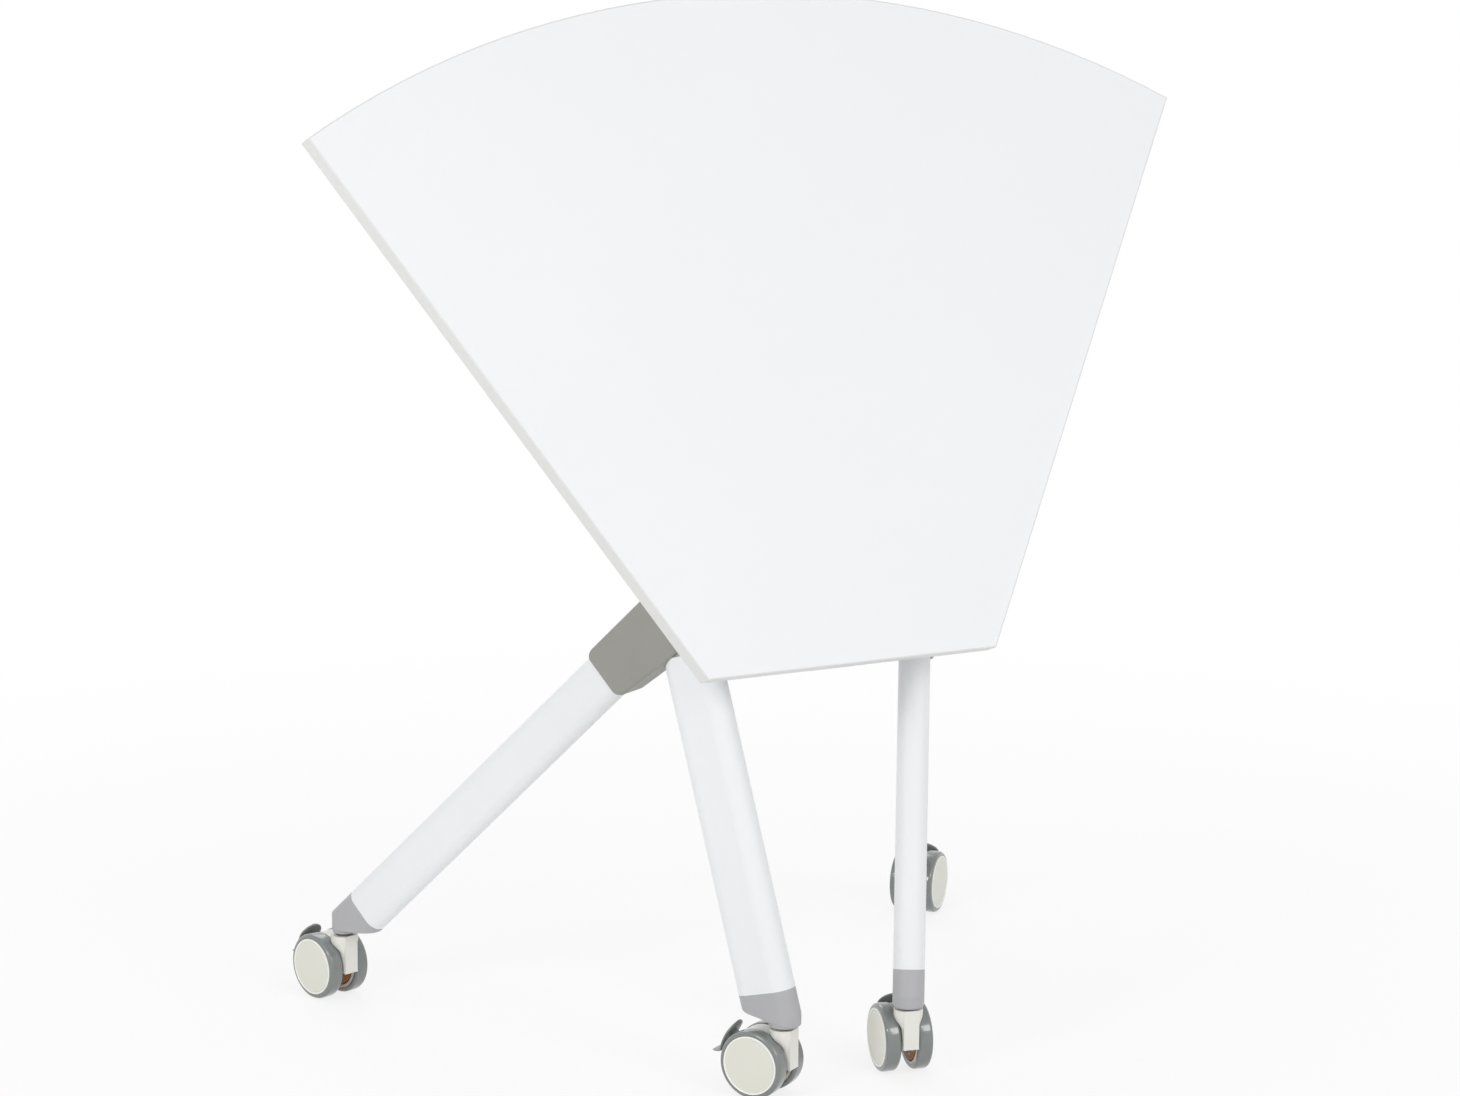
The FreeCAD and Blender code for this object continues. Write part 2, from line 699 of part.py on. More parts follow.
def lock_plates():
    """A fan-shaped plate on the beam at each bracket, with a notch for the stored and the level top."""
    body = new_body("lock_plate", BEAM_PLACE)
    turned = ("placement(vector(0; 0; -lock_place - lock_thickness / 2);"
              " rotation(vector(0; 0; 1); lock_mid))")
    fan = new_sketch(body, "YZ_Plane", turned)
    rim_x = "lock_radius * cos(lock_arc)"
    rim_y = "lock_radius * sin(lock_arc)"
    ring_x = "-lock_ring_radius * cos(lock_arc)"
    ring_y = "lock_ring_radius * sin(lock_arc)"
    add_loop(fan, [
        (rim_x, f"-{rim_y}", "0", "0", 1),
        (rim_x, rim_y),
        (ring_x, ring_y, "0", "0", 1),
        (ring_x, f"-{ring_y}"),
    ])
    add_circle(fan, "0", "0", "beam_radius + running_fit")
    pad(body, fan, "lock_thickness")
    mouth = "(tooth_root / 2 + tooth_slack)"
    floor = "(tooth_tip / 2 + tooth_slack / 2)"
    for side in (1, -1):
        notch_turn = turned.replace("lock_mid", f"lock_mid + ({side}) * fold_angle / 2")
        notch = new_sketch(body, "YZ_Plane", notch_turn)
        add_loop(notch, [
            ("lock_radius - lock_depth", f"-{floor}"),
            ("lock_radius", f"-{mouth}"),
            ("2 * lock_radius", f"-{mouth}"),
            ("2 * lock_radius", mouth),
            ("lock_radius", mouth),
            ("lock_radius - lock_depth", floor),
        ])
        pocket(body, notch, "cut_reach", both=True)
    return group([body, mirrored(body, "lock_plate_right")], "lock_plates")


# Top

def sector(sketch, inset):
    """The top's outline, shrunk by the inset: a straight inner edge, two slanted sides and the outer arc."""
    radius = f"(outer_radius - {inset})"
    far_angle = f"(sector_half_angle - asin({inset} / {radius}) / (1 deg))"
    far_x = f"{radius} * sin({far_angle})"
    far_y = f"{radius} * cos({far_angle})"
    near_y = f"(inner_radius * cos(sector_half_angle) + {inset})"
    near_x = f"({near_y} - {inset} / sin(sector_half_angle)) * tan(sector_half_angle)"
    add_loop(sketch, [
        (near_x, near_y),
        (far_x, far_y, "0", "0", 1),
        (f"-({far_x})", far_y),
        (f"-({near_x})", near_y),
    ])


UNDERSIDE = shift("0", "-pivot_setback - inner_radius * cos(sector_half_angle)", "pivot_drop")


def screw_places():
    """Where the top's screws stand: pairs astride each bracket, in four rows."""
    rows = ("-bracket_front + 2 * screw_head_radius", "bracket_waist / 2",
            "(bracket_waist + bracket_rear) / 2", "bracket_rear - 2 * screw_head_radius")
    return [(f"({side}) * screw_offset - bracket_place", row) for row in rows for side in (1, -1)]


def desktop_board():
    body = new_body("desktop_board", TOP_PLACE)
    plate = new_sketch(body, "XY_Plane", UNDERSIDE)
    sector(plate, "band_thickness")
    pad(body, plate, "top_thickness")
    pilots = new_sketch(body, "XY_Plane", shift("0", "0", "pivot_drop"))
    for x, y in screw_places():
        add_circle(pilots, x, y, "screw_radius + plug_fit")
        add_circle(pilots, f"-({x})", y, "screw_radius + plug_fit")
    pocket(body, pilots, "screw_bite + hole_end", backwards=True)
    return keep(body, "desktop_board")


def edge_band():
    body = new_body("edge_band", TOP_PLACE)
    strip = new_sketch(body, "XY_Plane", UNDERSIDE)
    sector(strip, "0")
    sector(strip, "band_thickness")
    pad(body, strip, "top_thickness")
    low = value("pivot_drop")
    high = low + value("top_thickness")

    def rim(edge):
        box = edge.BoundBox
        flat = box.ZLength < NEAR and min(abs(box.ZMin - low), abs(box.ZMin - high)) < NEAR
        return flat and outer_edge(edge)

    fillet(body, "band_edge_radius", rim)
    return keep(body, "edge_band")


def outer_edge(edge):
    """True for an edge of the top on the outside of its edge band."""
    centre_y = value("-pivot_setback - inner_radius * cos(sector_half_angle)")
    middle = edge.valueAt((edge.FirstParameter + edge.LastParameter) / 2)
    x = abs(middle.x)
    y = middle.y - centre_y
    slope = math.radians(value("sector_half_angle"))
    beyond_arc = math.hypot(x, y) > value("outer_radius") - NEAR
    beyond_side = x * math.cos(slope) - y * math.sin(slope) > -NEAR
    beyond_front = y < value("inner_radius") * math.cos(slope) + NEAR
    return beyond_arc or beyond_side or beyond_front


def top_bracket():
    """A cast arm: a flange under the board, two cheeks and a collar that turns on the beam."""
    body = new_body("top_bracket", TOP_PLACE)
    flange = new_sketch(body, "XY_Plane", shift("-bracket_place", "0", "flange_bottom"))
    half = "flange_width / 2"
    add_loop(flange, [
        (half, "-bracket_front"),
        (half, "bracket_rear"),
        (f"-{half}", "bracket_rear"),
        (f"-{half}", "-bracket_front"),
    ])
    pad(body, flange, "flange_thickness")
    for side in (1, -1):
        middle = f"-bracket_place + ({side}) * (bracket_width - cheek_thickness) / 2 - cheek_thickness / 2"
        cheek = new_sketch(body, "YZ_Plane", shift("0", "0", middle))
        add_loop(cheek, [
            ("-bracket_front", "flange_bottom"),
            ("-bracket_front", "flange_bottom - bracket_tip_height"),
            ("-latch_back - 2 * latch_radius", "latch_rise - 2 * latch_radius"),
            ("-collar_radius * cos(cheek_angle)", "-collar_radius * sin(cheek_angle)"),
            ("collar_radius * cos(cheek_angle)", "-collar_radius * sin(cheek_angle)"),
            ("bracket_waist", "flange_bottom - 2 * bracket_tip_height"),
            ("bracket_rear", "flange_bottom - bracket_tip_height"),
            ("bracket_rear", "flange_bottom"),
        ])
        pad(body, cheek, "cheek_thickness")
    collar = new_sketch(body, "YZ_Plane", shift("0", "0", "-bracket_place"))
    add_circle(collar, "0", "0", "collar_radius")
    pad(body, collar, "bracket_width", both=True)
    bores = new_sketch(body, "YZ_Plane", shift("0", "0", "-bracket_place"))
    add_circle(bores, "0", "0", "collar_bore")
    add_circle(bores, "-latch_back", "latch_rise", "latch_radius + running_fit")
    add_circle(bores, "(collar_radius + bracket_waist) / 2 - window_radius", "latch_rise", "window_radius")
    pocket(body, bores, "cut_reach", both=True)
    holes = new_sketch(body, "XY_Plane", shift("0", "0", "flange_bottom"))
    for x, y in screw_places():
        add_circle(holes, x, y, "screw_radius + plug_fit")
    pocket(body, holes, "2 * flange_thickness", backwards=True)
    return pair(body, "top_bracket")


def pivot_bushes():
    body = new_body("pivot_bush", TOP_PLACE)
    ring = new_sketch(body, "YZ_Plane", shift("0", "0", "-bracket_place"))
    add_circle(ring, "0", "0", "collar_bore")
    add_circle(ring, "0", "0", "beam_radius + running_fit")
    pad(body, ring, "bracket_width", both=True)
    return group([body, mirrored(body, "pivot_bush_right")], "pivot_bushes")


def top_screws():
    screws = []
    for x, y in screw_places():
        head = cylinder("top_screw_head", "screw_head_radius", "screw_head_height",
                        shift(x, y, "flange_bottom - screw_head_height"))
        shank = cylinder("top_screw_shank", "screw_radius", "flange_thickness + screw_bite",
                         shift(x, y, "flange_bottom"))
        screw = fused("top_screw", head, shank, TOP_PLACE)
        screws += [screw, mirrored(screw, "top_screw_right")]
    return group(screws, "top_screws")


# Latch, drawn in its locked attitude about its shaft and then turned to let go

def latch_shaft():
    body = new_body("latch_shaft", LATCH_PLACE)
    rod = new_sketch(body, "YZ_Plane")
    add_circle(rod, "0", "0", "latch_radius")
    pad(body, rod, "2 * (bracket_place + bracket_width / 2 + latch_overhang)", both=True)
    return keep(body, "latch_shaft")


def latch_pawls():
    """A tooth on a short arm at each lock plate."""
    body = new_body("latch_pawl", LATCH_PLACE)
    side = new_sketch(body, "YZ_Plane", shift("0", "0", "-lock_place - lock_thickness / 2"))
    add_circle(side, "0", "0", "pawl_eye_radius")
    pad(body, side, "lock_thickness")
    arm = new_sketch(body, "YZ_Plane", shift("0", "0", "-lock_place - lock_thickness / 2"))
    shoulder = "(latch_back - lock_radius - tooth_slack)"
    add_loop(arm, [
        ("-pawl_eye_radius", "0"),
        (f"{shoulder} - pawl_eye_radius", "-latch_rise - tooth_root / 2"),
        (shoulder, "-latch_rise - tooth_root / 2"),
        ("tooth_reach", "-latch_rise - tooth_tip / 2"),
        ("tooth_reach", "-latch_rise + tooth_tip / 2"),
        (shoulder, "-latch_rise + tooth_root / 2"),
        (shoulder, "-latch_radius"),
        ("latch_radius", "0"),
    ])
    pad(body, arm, "lock_thickness")
    eye = new_sketch(body, "YZ_Plane")
    add_circle(eye, "0", "0", "latch_radius + running_fit")
    pocket(body, eye, "cut_reach", both=True)
    return group([body, mirrored(body, "latch_pawl_right")], "latch_pawls")


def latch_lever():
    """A wide paddle that fingers squeeze up towards the top."""
    body = new_body("latch_lever", LATCH_PLACE)
    eye = new_sketch(body, "YZ_Plane")
    add_circle(eye, "0", "0", "latch_radius + lever_thickness")
    pad(body, eye, "lever_width", both=True)
    paddle = new_sketch(body, "YZ_Plane")
    crown = "(latch_radius + lever_thickness)"
    add_loop(paddle, [
        ("0", crown),
        ("-lever_length", f"{crown} - lever_lip"),
        ("-lever_length - lever_lip", f"{crown} - 2 * lever_lip - lever_thickness"),
        ("-lever_length", f"{crown} - 2 * lever_lip - lever_thickness"),
        ("-lever_length + lever_lip", f"{crown} - lever_lip - lever_thickness"),
        ("0", "latch_radius"),
    ])
    pad(body, paddle, "lever_width", both=True)
    bore = new_sketch(body, "YZ_Plane")
    add_circle(bore, "0", "0", "latch_radius + running_fit")
    pocket(body, bore, "cut_reach", both=True)
    return keep(body, "latch_lever")


def biarc(start, start_way, finish, finish_way):
    """Two arcs that leave one point and reach another along given ways."""
    span = finish - start
    both = start_way + finish_way
    bend = 2 * (1 - start_way.dot(finish_way))
    along = span.dot(both)
    reach = (math.sqrt(along ** 2 + bend * span.dot(span)) - along) / bend
    first_knee = start + start_way * reach
    last_knee = finish - finish_way * reach
    middle = (first_knee + last_knee) / 2
    return [arc_by_knee(start, first_knee, middle), arc_by_knee(middle, last_knee, finish)]


def arc_by_knee(start, knee, finish):
    """The arc whose end tangents meet at the knee."""
    chord_middle = (start + finish) / 2
    half = (finish - start).Length / 2
    height = (knee - chord_middle).Length
    radius = (knee - start).Length * half / height
    crown = chord_middle + (knee - chord_middle) * ((radius - math.sqrt(radius ** 2 - half ** 2)) / height)
    return Part.Arc(start, crown, finish).toShape()


def latch_springs():
    """A torsion spring round the latch shaft in each bracket, with a leg under the flange and one forward."""
    wire = value("spring_wire")
    radius = value("latch_radius + spring_wire / 2 + spring_clearance")
    turns = int(value("spring_turns"))
    pitch = value("spring_pitch")
    first_x = value("-bracket_place") - pitch * turns / 2
    climb = pitch / (2 * math.pi * radius)
    spread = math.hypot(1, climb)

    def point(angle):
        x = first_x + pitch * angle / (2 * math.pi)
        return Vector(x, radius * math.cos(angle), radius * math.sin(angle))

    def way(angle):
        return Vector(climb, -math.sin(angle), math.cos(angle)) / spread

    edges = []
    quarter = math.pi / 2
    for step in range(4 * turns):
        edges += biarc(point(step * quarter), way(step * quarter),
                       point((step + 1) * quarter), way((step + 1) * quarter))
    leg = value("spring_leg")
    last = 4 * turns * quarter
    edges.insert(0, Part.LineSegment(point(0) - way(0) * leg, point(0)).toShape())
    edges.append(Part.LineSegment(point(last), point(last) + way(last) * leg).toShape())
    path = Part.Wire(edges)
    ring = Part.Wire(Part.Circle(point(0) - way(0) * leg, way(0), wire / 2).toShape())
    coil = Part.BRepOffsetAPI.MakePipeShell(path)
    coil.add(ring)
    coil.build()
    coil.makeSolid()
    spring = doc.addObject("Part::Feature", "latch_spring")
    spring.Shape = coil.shape()
    bind(spring, Placement=TOP_PLACE.replace(
        "vector(0; pivot_y; apex_height)",
        "vector(0; pivot_y - latch_back * cos(fold_angle) - latch_rise * sin(fold_angle);"
        " apex_height - latch_back * sin(fold_angle) + latch_rise * cos(fold_angle))"))
    return group([spring, mirrored(spring, "latch_spring_right")], "latch_springs")


# Casters

def stem_places():
    return {
        "front_left": ("-front_stem_spread", "front_stem_y"),
        "front_right": ("front_stem_spread", "front_stem_y"),
        "rear_left": ("-rear_stem_x", "rear_stem_y"),
        "rear_right": ("rear_stem_x", "rear_stem_y"),
    }


def caster_stems():
    stems = []
    for x, y in stem_places().values():
        collar = cylinder("stem_collar", "stem_collar_radius", "boss_bottom - housing_top",
                          shift(x, y, "housing_top"))
        shank = cylinder("stem_shank", "stem_radius", "stem_drop + boss_bottom - housing_top + stem_bite",
                         shift(x, y, "housing_top - stem_drop"))
        stems.append(fused("caster_stem", collar, shank))
    return group(stems, "caster_stems")


def at_stem(corner):
    x, y = stem_places()[corner]
    return f"placement(vector({x}; {y}; 0); rotation(vector(0; 0; 1); heading_{corner}))"


def at_axle(corner, turned="0"):
    x, y = stem_places()[corner]
    heading = f"heading_{corner}"
    return (f"placement(vector({x} + trail * cos({heading}); {y} + trail * sin({heading}); wheel_radius);"
            f" rotation(vector(0; 0; 1); {heading} + {turned}))")


def caster_housing(corner):
    """A web between the wheels, hooded over them, that widens through a neck to a round post."""
    body = new_body(f"{corner}_caster_housing", at_stem(corner))
    web = new_sketch(body, "XZ_Plane")
    hood_z = "wheel_radius + sqrt(hood_radius ^ 2 - (trail - post_radius) ^ 2)"
    add_loop(web, [
        ("-post_radius", "post_bottom"),
        ("-post_radius", "housing_top"),
        ("post_radius", "housing_top"),
        ("post_radius", hood_z, "trail", "wheel_radius", -1),
        ("trail + hood_radius * cos(hood_end)", "wheel_radius + hood_radius * sin(hood_end)"),
        ("trail + 3 * axle_radius", "wheel_radius - 2 * axle_radius"),
        ("trail - 2 * axle_radius", "wheel_radius - 3 * axle_radius"),
        ("post_radius", "post_bottom"),
    ])
    pad(body, web, "web_thickness", both=True)
    post = new_sketch(body, "XY_Plane", shift("0", "0", "neck_top"))
    round_box(post, "2 * post_radius", "post_width", "post_corner")
    pad(body, post, "housing_top - neck_top")
    sections = []
    for height, width, rounding in (
        ("neck_top", "post_width", "post_corner"),
        ("neck_shoulder", "neck_shoulder_width", "post_corner"),
        ("neck_waist", "neck_waist_width", "neck_corner"),
        ("neck_bottom", "web_thickness", "neck_corner"),
    ):
        section = new_sketch(body, "XY_Plane", shift("0", "0", height))
        round_box(section, "2 * post_radius", width, rounding)
        sections.append(section)
    neck = body.newObject("PartDesign::AdditiveLoft", body.Name + "_neck")
    neck.Profile = sections[0]
    neck.Sections = sections[1:]
    neck.Ruled = False
    for turned in (1, -1):
        room = new_sketch(body, "XZ_Plane", shift("0", "0", f"({turned}) * web_thickness / 2"))
        add_circle(room, "trail", "wheel_radius", "wheel_radius + wheel_gap")
        pocket(body, room, "post_radius", backwards=turned > 0)
    stem = new_sketch(body, "XY_Plane", shift("0", "0", "housing_top"))
    add_circle(stem, "0", "0", "stem_radius + running_fit")
    pocket(body, stem, "stem_drop + hole_end")
    axle = new_sketch(body, "XZ_Plane")
    add_circle(axle, "trail", "wheel_radius", "axle_radius + running_fit")
    add_circle(axle, "pedal_pivot_x", "pedal_pivot_z", "trunnion_radius + running_fit")
    pocket(body, axle, "cut_reach", both=True)
    slot = new_sketch(body, "XZ_Plane", PEDAL_TURN)
    half = "(hood_radius - pedal_pivot + 2 * trunnion_radius)"
    add_loop(slot, [
        ("pedal_pivot - 3 * trunnion_radius", f"-{half}"),
        ("2 * hood_radius", f"-{half}"),
        ("2 * hood_radius", half),
        ("pedal_pivot - 3 * trunnion_radius", half),
    ])
    pocket(body, slot, "pedal_lug + 2 * pedal_slot_gap", both=True)
    return keep(body, f"{corner}_caster_housing")


def caster_axle(corner):
    body = new_body(f"{corner}_caster_axle", at_axle(corner))
    rod = new_sketch(body, "XZ_Plane")
    add_circle(rod, "0", "0", "axle_radius")
    pad(body, rod, "caster_width - 2 * disc_thickness - 2 * wheel_gap", both=True)
    return keep(body, f"{corner}_caster_axle")


def brake_hub(corner):
    """A perforated disc on each face of the web, inside the wheels' rims."""
    discs = []
    for turned in ("0", "180"):
        body = new_body(f"{corner}_brake_disc", at_axle(corner, turned))
        depth = "-web_thickness / 2 - wheel_gap - brake_hub_width"
        face = new_sketch(body, "XZ_Plane", shift("0", "0", depth))
        add_circle(face, "0", "0", "brake_hub_radius")
        add_circle(face, "0", "0", "axle_radius + running_fit")
        pad(body, face, "brake_hub_width + wheel_gap")
        hole = new_sketch(body, "XZ_Plane")
        add_circle(hole, "brake_hole_place", "0", "brake_hole_radius")
        cut = pocket(body, hole, "cut_reach", both=True)
        ring = body.newObject("PartDesign::PolarPattern", body.Name + "_pattern")
        ring.Originals = [cut]
        ring.Axis = (hole, ["N_Axis"])
        ring.Angle = 360
        bind(ring, Occurrences="brake_hole_count")
        body.Tip = ring
        discs.append(body)
    return group(discs, f"{corner}_caster_brake_hub")


def wheel(corner, hand, turned):
    """A dished wheel, open to the web, on a blind hub."""
    body = new_body(f"{corner}_caster_wheel_{hand}", at_axle(corner, turned))
    section = new_sketch(body, "XY_Plane")
    outside = "caster_width / 2"
    inside = f"({outside} - disc_thickness)"
    hub_face = "(web_thickness / 2 + 2 * wheel_gap + brake_hub_width)"
    add_loop(section, [
        ("0", inside),
        ("0", outside),
        ("disc_radius - disc_bevel", outside),
        ("disc_radius", f"{outside} - disc_bevel"),
        ("disc_radius", "axle_y_inner"),
        ("disc_radius - rim_thickness", "axle_y_inner"),
        ("disc_radius - rim_thickness", inside),
        ("wheel_hub_radius", inside),
        ("wheel_hub_radius", hub_face),
        ("axle_radius + running_fit", hub_face),
        ("axle_radius + running_fit", inside),
    ])
    revolve(body, section, "V_Axis")
    return keep(body, f"{corner}_caster_wheel_{hand}")


def tread(corner, hand, turned):
    """A soft tyre with rounded shoulders on the wheel's rim."""
    body = new_body(f"{corner}_caster_tread_{hand}", at_axle(corner, turned))
    section = new_sketch(body, "XY_Plane")
    outside = "(caster_width / 2 - disc_bevel)"
    bore = "(disc_radius + running_fit)"
    rounding = "tread_rounding"
    add_loop(section, [
        (bore, "axle_y_inner"),
        (f"wheel_radius - {rounding}", "axle_y_inner", f"wheel_radius - {rounding}",
         f"axle_y_inner + {rounding}", 1),
        ("wheel_radius", f"axle_y_inner + {rounding}"),
        ("wheel_radius", f"{outside} - {rounding}",
         f"wheel_radius - {rounding}", f"{outside} - {rounding}", 1),
        (f"wheel_radius - {rounding}", outside),
        (bore, outside),
    ])
    revolve(body, section, "V_Axis")
    return keep(body, f"{corner}_caster_tread_{hand}")


def brake_pedal(corner):
    """A paddle that lies along the hood, on a lug with trunnions in the web."""
    body = new_body(f"{corner}_caster_pedal", at_stem(corner))
    low = "(pedal_radius - pedal_thickness / 2)"
    high = "(pedal_radius + pedal_thickness / 2)"
    side = new_sketch(body, "XZ_Plane", PEDAL_TURN)
    add_loop(side, [
        (low, "-pedal_lower"),
        (f"{high} + pedal_lip", "-pedal_lower"),
        (high, "-pedal_lower + pedal_lip"),
        (high, "pedal_upper"),
        (low, "pedal_upper"),
    ])
    pad(body, side, "pedal_width", both=True)
    lug = new_sketch(body, "XZ_Plane", PEDAL_TURN)
    reach = "2 * trunnion_radius"
    add_loop(lug, [
        ("pedal_pivot", f"-{reach}"),
        (f"{low} + pedal_thickness / 4", f"-{reach}"),
        (f"{low} + pedal_thickness / 4", reach),
        ("pedal_pivot", reach, "pedal_pivot", "0", 1),
    ])
    pad(body, lug, "pedal_lug", both=True)
    pins = new_sketch(body, "XZ_Plane", PEDAL_TURN)
    add_circle(pins, "pedal_pivot", "0", "trunnion_radius")
    pad(body, pins, "web_thickness", both=True)
    crown_x = value("trail + pedal_radius * cos(pedal_angle) - pedal_upper * sin(pedal_angle)")
    crown_z = value("wheel_radius + pedal_radius * sin(pedal_angle) + pedal_upper * cos(pedal_angle)")
    thickness = value("pedal_thickness")
    half = value("pedal_width / 2")

    def crown_corner(edge):
        middle = edge.CenterOfMass
        near = math.hypot(middle.x - crown_x, middle.z - crown_z) < thickness
        return near and abs(abs(middle.y) - half) < NEAR and edge.BoundBox.YLength < NEAR

    fillet(body, "(pedal_width - pedal_crown_flat) / 2", crown_corner)
    return keep(body, f"{corner}_caster_pedal")


def casters():
    for corner in stem_places():
        caster_housing(corner)
        caster_axle(corner)
        brake_hub(corner)
        brake_pedal(corner)
        for hand, turned in (("left", "180"), ("right", "0")):
            wheel(corner, hand, turned)
            tread(corner, hand, turned)


def build():
    fill_sheets()
    leg("front_leg", front_axis, "front")
    leg("rear_leg", rear_axis, "rear")
    foot_cap("front", front_axis, "0", 1)
    foot_cap("rear", rear_axis, "stem_gap", -1)
    apex_hub()
    cover_half("outer")
    cover_half("inner")
    cover_screws()
    cross_beam()
    lock_plates()
    desktop_board()
    edge_band()
    top_bracket()
    pivot_bushes()
    top_screws()
    latch_shaft()
    latch_pawls()
    latch_lever()
    latch_springs()
    caster_stems()
    casters()
    doc.recompute()


def write():
    for item in doc.Objects:
        if "Invalid" in item.State or "Error" in item.State:
            raise RuntimeError(f"{item.Label} did not build")
    for item in parts:
        if item.Shape.isNull() or not item.Shape.isValid():
            raise RuntimeError(f"{item.Label} has no sound shape")
    os.makedirs("parts", exist_ok=True)
    for item in parts:
        item.Shape.exportStep(os.path.join("parts", item.Label + ".step"))


build()
write()
print(len(parts), "parts")
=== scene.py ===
import json
import math

import bmesh
import bpy
from mathutils import Matrix, Vector


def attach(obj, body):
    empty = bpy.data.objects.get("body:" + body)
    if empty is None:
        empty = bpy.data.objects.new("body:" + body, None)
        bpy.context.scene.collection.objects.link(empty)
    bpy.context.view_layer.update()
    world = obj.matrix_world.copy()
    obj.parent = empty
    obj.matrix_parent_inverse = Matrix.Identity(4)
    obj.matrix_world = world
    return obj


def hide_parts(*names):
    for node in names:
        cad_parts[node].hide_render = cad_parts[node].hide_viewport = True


# A flip-top desk on casters, seen from the left front with its top swung up for storage.

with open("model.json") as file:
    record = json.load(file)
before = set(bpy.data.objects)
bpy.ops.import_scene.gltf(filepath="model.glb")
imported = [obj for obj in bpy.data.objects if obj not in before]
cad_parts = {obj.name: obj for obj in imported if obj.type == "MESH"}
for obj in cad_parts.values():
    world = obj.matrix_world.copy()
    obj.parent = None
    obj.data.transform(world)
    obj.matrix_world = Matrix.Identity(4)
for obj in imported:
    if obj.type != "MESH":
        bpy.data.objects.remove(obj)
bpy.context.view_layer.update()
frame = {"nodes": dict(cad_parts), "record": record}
nodes = frame["nodes"]
MM = 0.001
MERGE = 0.000002

# Photograph: picture size in pixels, and the camera that fits it
PICTURE_WIDTH = 1460
FOCAL_PIXELS = 4116
SENSOR_MM = 36.0
CAMERA_PLACE = Vector((-2.361, -4.613, 1.727))
CAMERA_YAW = math.radians(27.12)
CAMERA_PITCH = math.radians(12.02)
CAMERA_ROLL = math.radians(-0.4)
CAMERA_CLIP_END = 60

# Casters: stem place in metres, and the way the wheels trail in degrees
CASTERS = {
    "front_left": (-0.088, -0.3305, 122),
    "front_right": (0.088, -0.3305, 79),
    "rear_left": (-0.432, 0.265334, 106.5),
    "rear_right": (0.432, 0.265334, 43),
}

# Caster sizes in millimetres: places across are from the middle of the web
TRAIL = 31
WHEEL_RADIUS = 43.5
DISC_RADIUS = 37.4
DISC_OUTSIDE = 32
DISC_THICKNESS = 2.4
RIM_THICKNESS = 4
WHEEL_INSIDE = 10.8
WHEEL_HUB_RADIUS = 8
WHEEL_HUB_INSIDE = 16.6
FIT_GAP = 0.05                                             # between a disc and its tyre, on each
FACE_SETBACK = 0.5                                         # of a disc's face behind its bead
DISC_DOME = ((0, 0.2), (12, 0.16), (22, 0.08))             # radius, and rise above the face
BEAD_INSET = 1
BEAD_RADIUS = 1.1
BEAD_START = 170                                           # degrees
BEAD_DEPTH = 3
GROOVE = ((3, 0), (2, -0.1), (1.6, -0.5), (1.3, -0.5))     # in from the bead, and rise above the face
EDGE_BREAK = 0.5
FILLET = 2
FILLET_BELLY = 0.6
HUB_BREAK = 1
TYRE_SETBACK = 1
TYRE_SHOULDER = 4.5
SHOULDER_END = 84                                          # degrees
TYRE_LIP = 0.7
LIP_START = (0.9, 0.02)                                    # out from the disc, and in from the tyre's side
SEAT_DEPTH = 2
TYRE_BREAK = 0.4
TURN_STEPS = 96
ARC_STEPS = 8


def srgb(red, green, blue):
    """A colour as a picture shows it, from 0 to 255, as light."""
    light = []
    for level in (red, green, blue):
        share = level / 255
        light.append(share / 12.92 if share <= 0.04045 else ((share + 0.055) / 1.055) ** 2.4)
    return (*light, 1.0)


# Materials

NOISE_LOW = 0.3
NOISE_HIGH = 0.7


def shifted(colour, factor):
    """A colour made lighter or darker."""
    return (*[min(1.0, channel * factor) for channel in colour[:3]], 1.0)


def surface(name, colour, roughness, spread=0.03, blotch=0.08, grain=0.0012, relief=0.00004,
            gloss_spread=0.06, metal=0.0, coat=0.0, shine=0.5):
    """A moulded, painted or rolled surface: faint blotches, uneven gloss and a fine grain in relief.
    Sizes of blotch, grain and relief are in metres."""
    material = bpy.data.materials.new(name)
    material.use_nodes = True
    tree = material.node_tree
    shader = tree.nodes["Principled BSDF"]
    shader.inputs["Metallic"].default_value = metal
    shader.inputs["Coat Weight"].default_value = coat
    shader.inputs["Specular IOR Level"].default_value = shine
    place = tree.nodes.new("ShaderNodeTexCoord").outputs["Object"]

    def noise(size, detail):
        item = tree.nodes.new("ShaderNodeTexNoise")
        item.inputs["Scale"].default_value = 1 / size
        item.inputs["Detail"].default_value = detail
        tree.links.new(place, item.inputs["Vector"])
        return item.outputs["Fac"]

    def ramp(source, low, high):
        item = tree.nodes.new("ShaderNodeMapRange")
        item.inputs["From Min"].default_value = NOISE_LOW
        item.inputs["From Max"].default_value = NOISE_HIGH
        item.inputs["To Min"].default_value = low
        item.inputs["To Max"].default_value = high
        tree.links.new(source, item.inputs["Value"])
        return item.outputs["Result"]

    mix = tree.nodes.new("ShaderNodeMix")
    mix.data_type = "RGBA"
    mix.inputs["A"].default_value = shifted(colour, 1 - spread)
    mix.inputs["B"].default_value = shifted(colour, 1 + spread)
    tree.links.new(ramp(noise(blotch, 3), 0, 1), mix.inputs["Factor"])
    tree.links.new(mix.outputs["Result"], shader.inputs["Base Color"])
    gloss = ramp(noise(blotch / 3, 4), roughness - gloss_spread, roughness + gloss_spread)
    tree.links.new(gloss, shader.inputs["Roughness"])
    bump = tree.nodes.new("ShaderNodeBump")
    bump.inputs["Strength"].default_value = 1.0
    bump.inputs["Distance"].default_value = relief
    tree.links.new(noise(grain, 2), bump.inputs["Height"])
    tree.links.new(bump.outputs["Normal"], shader.inputs["Normal"])
    return material


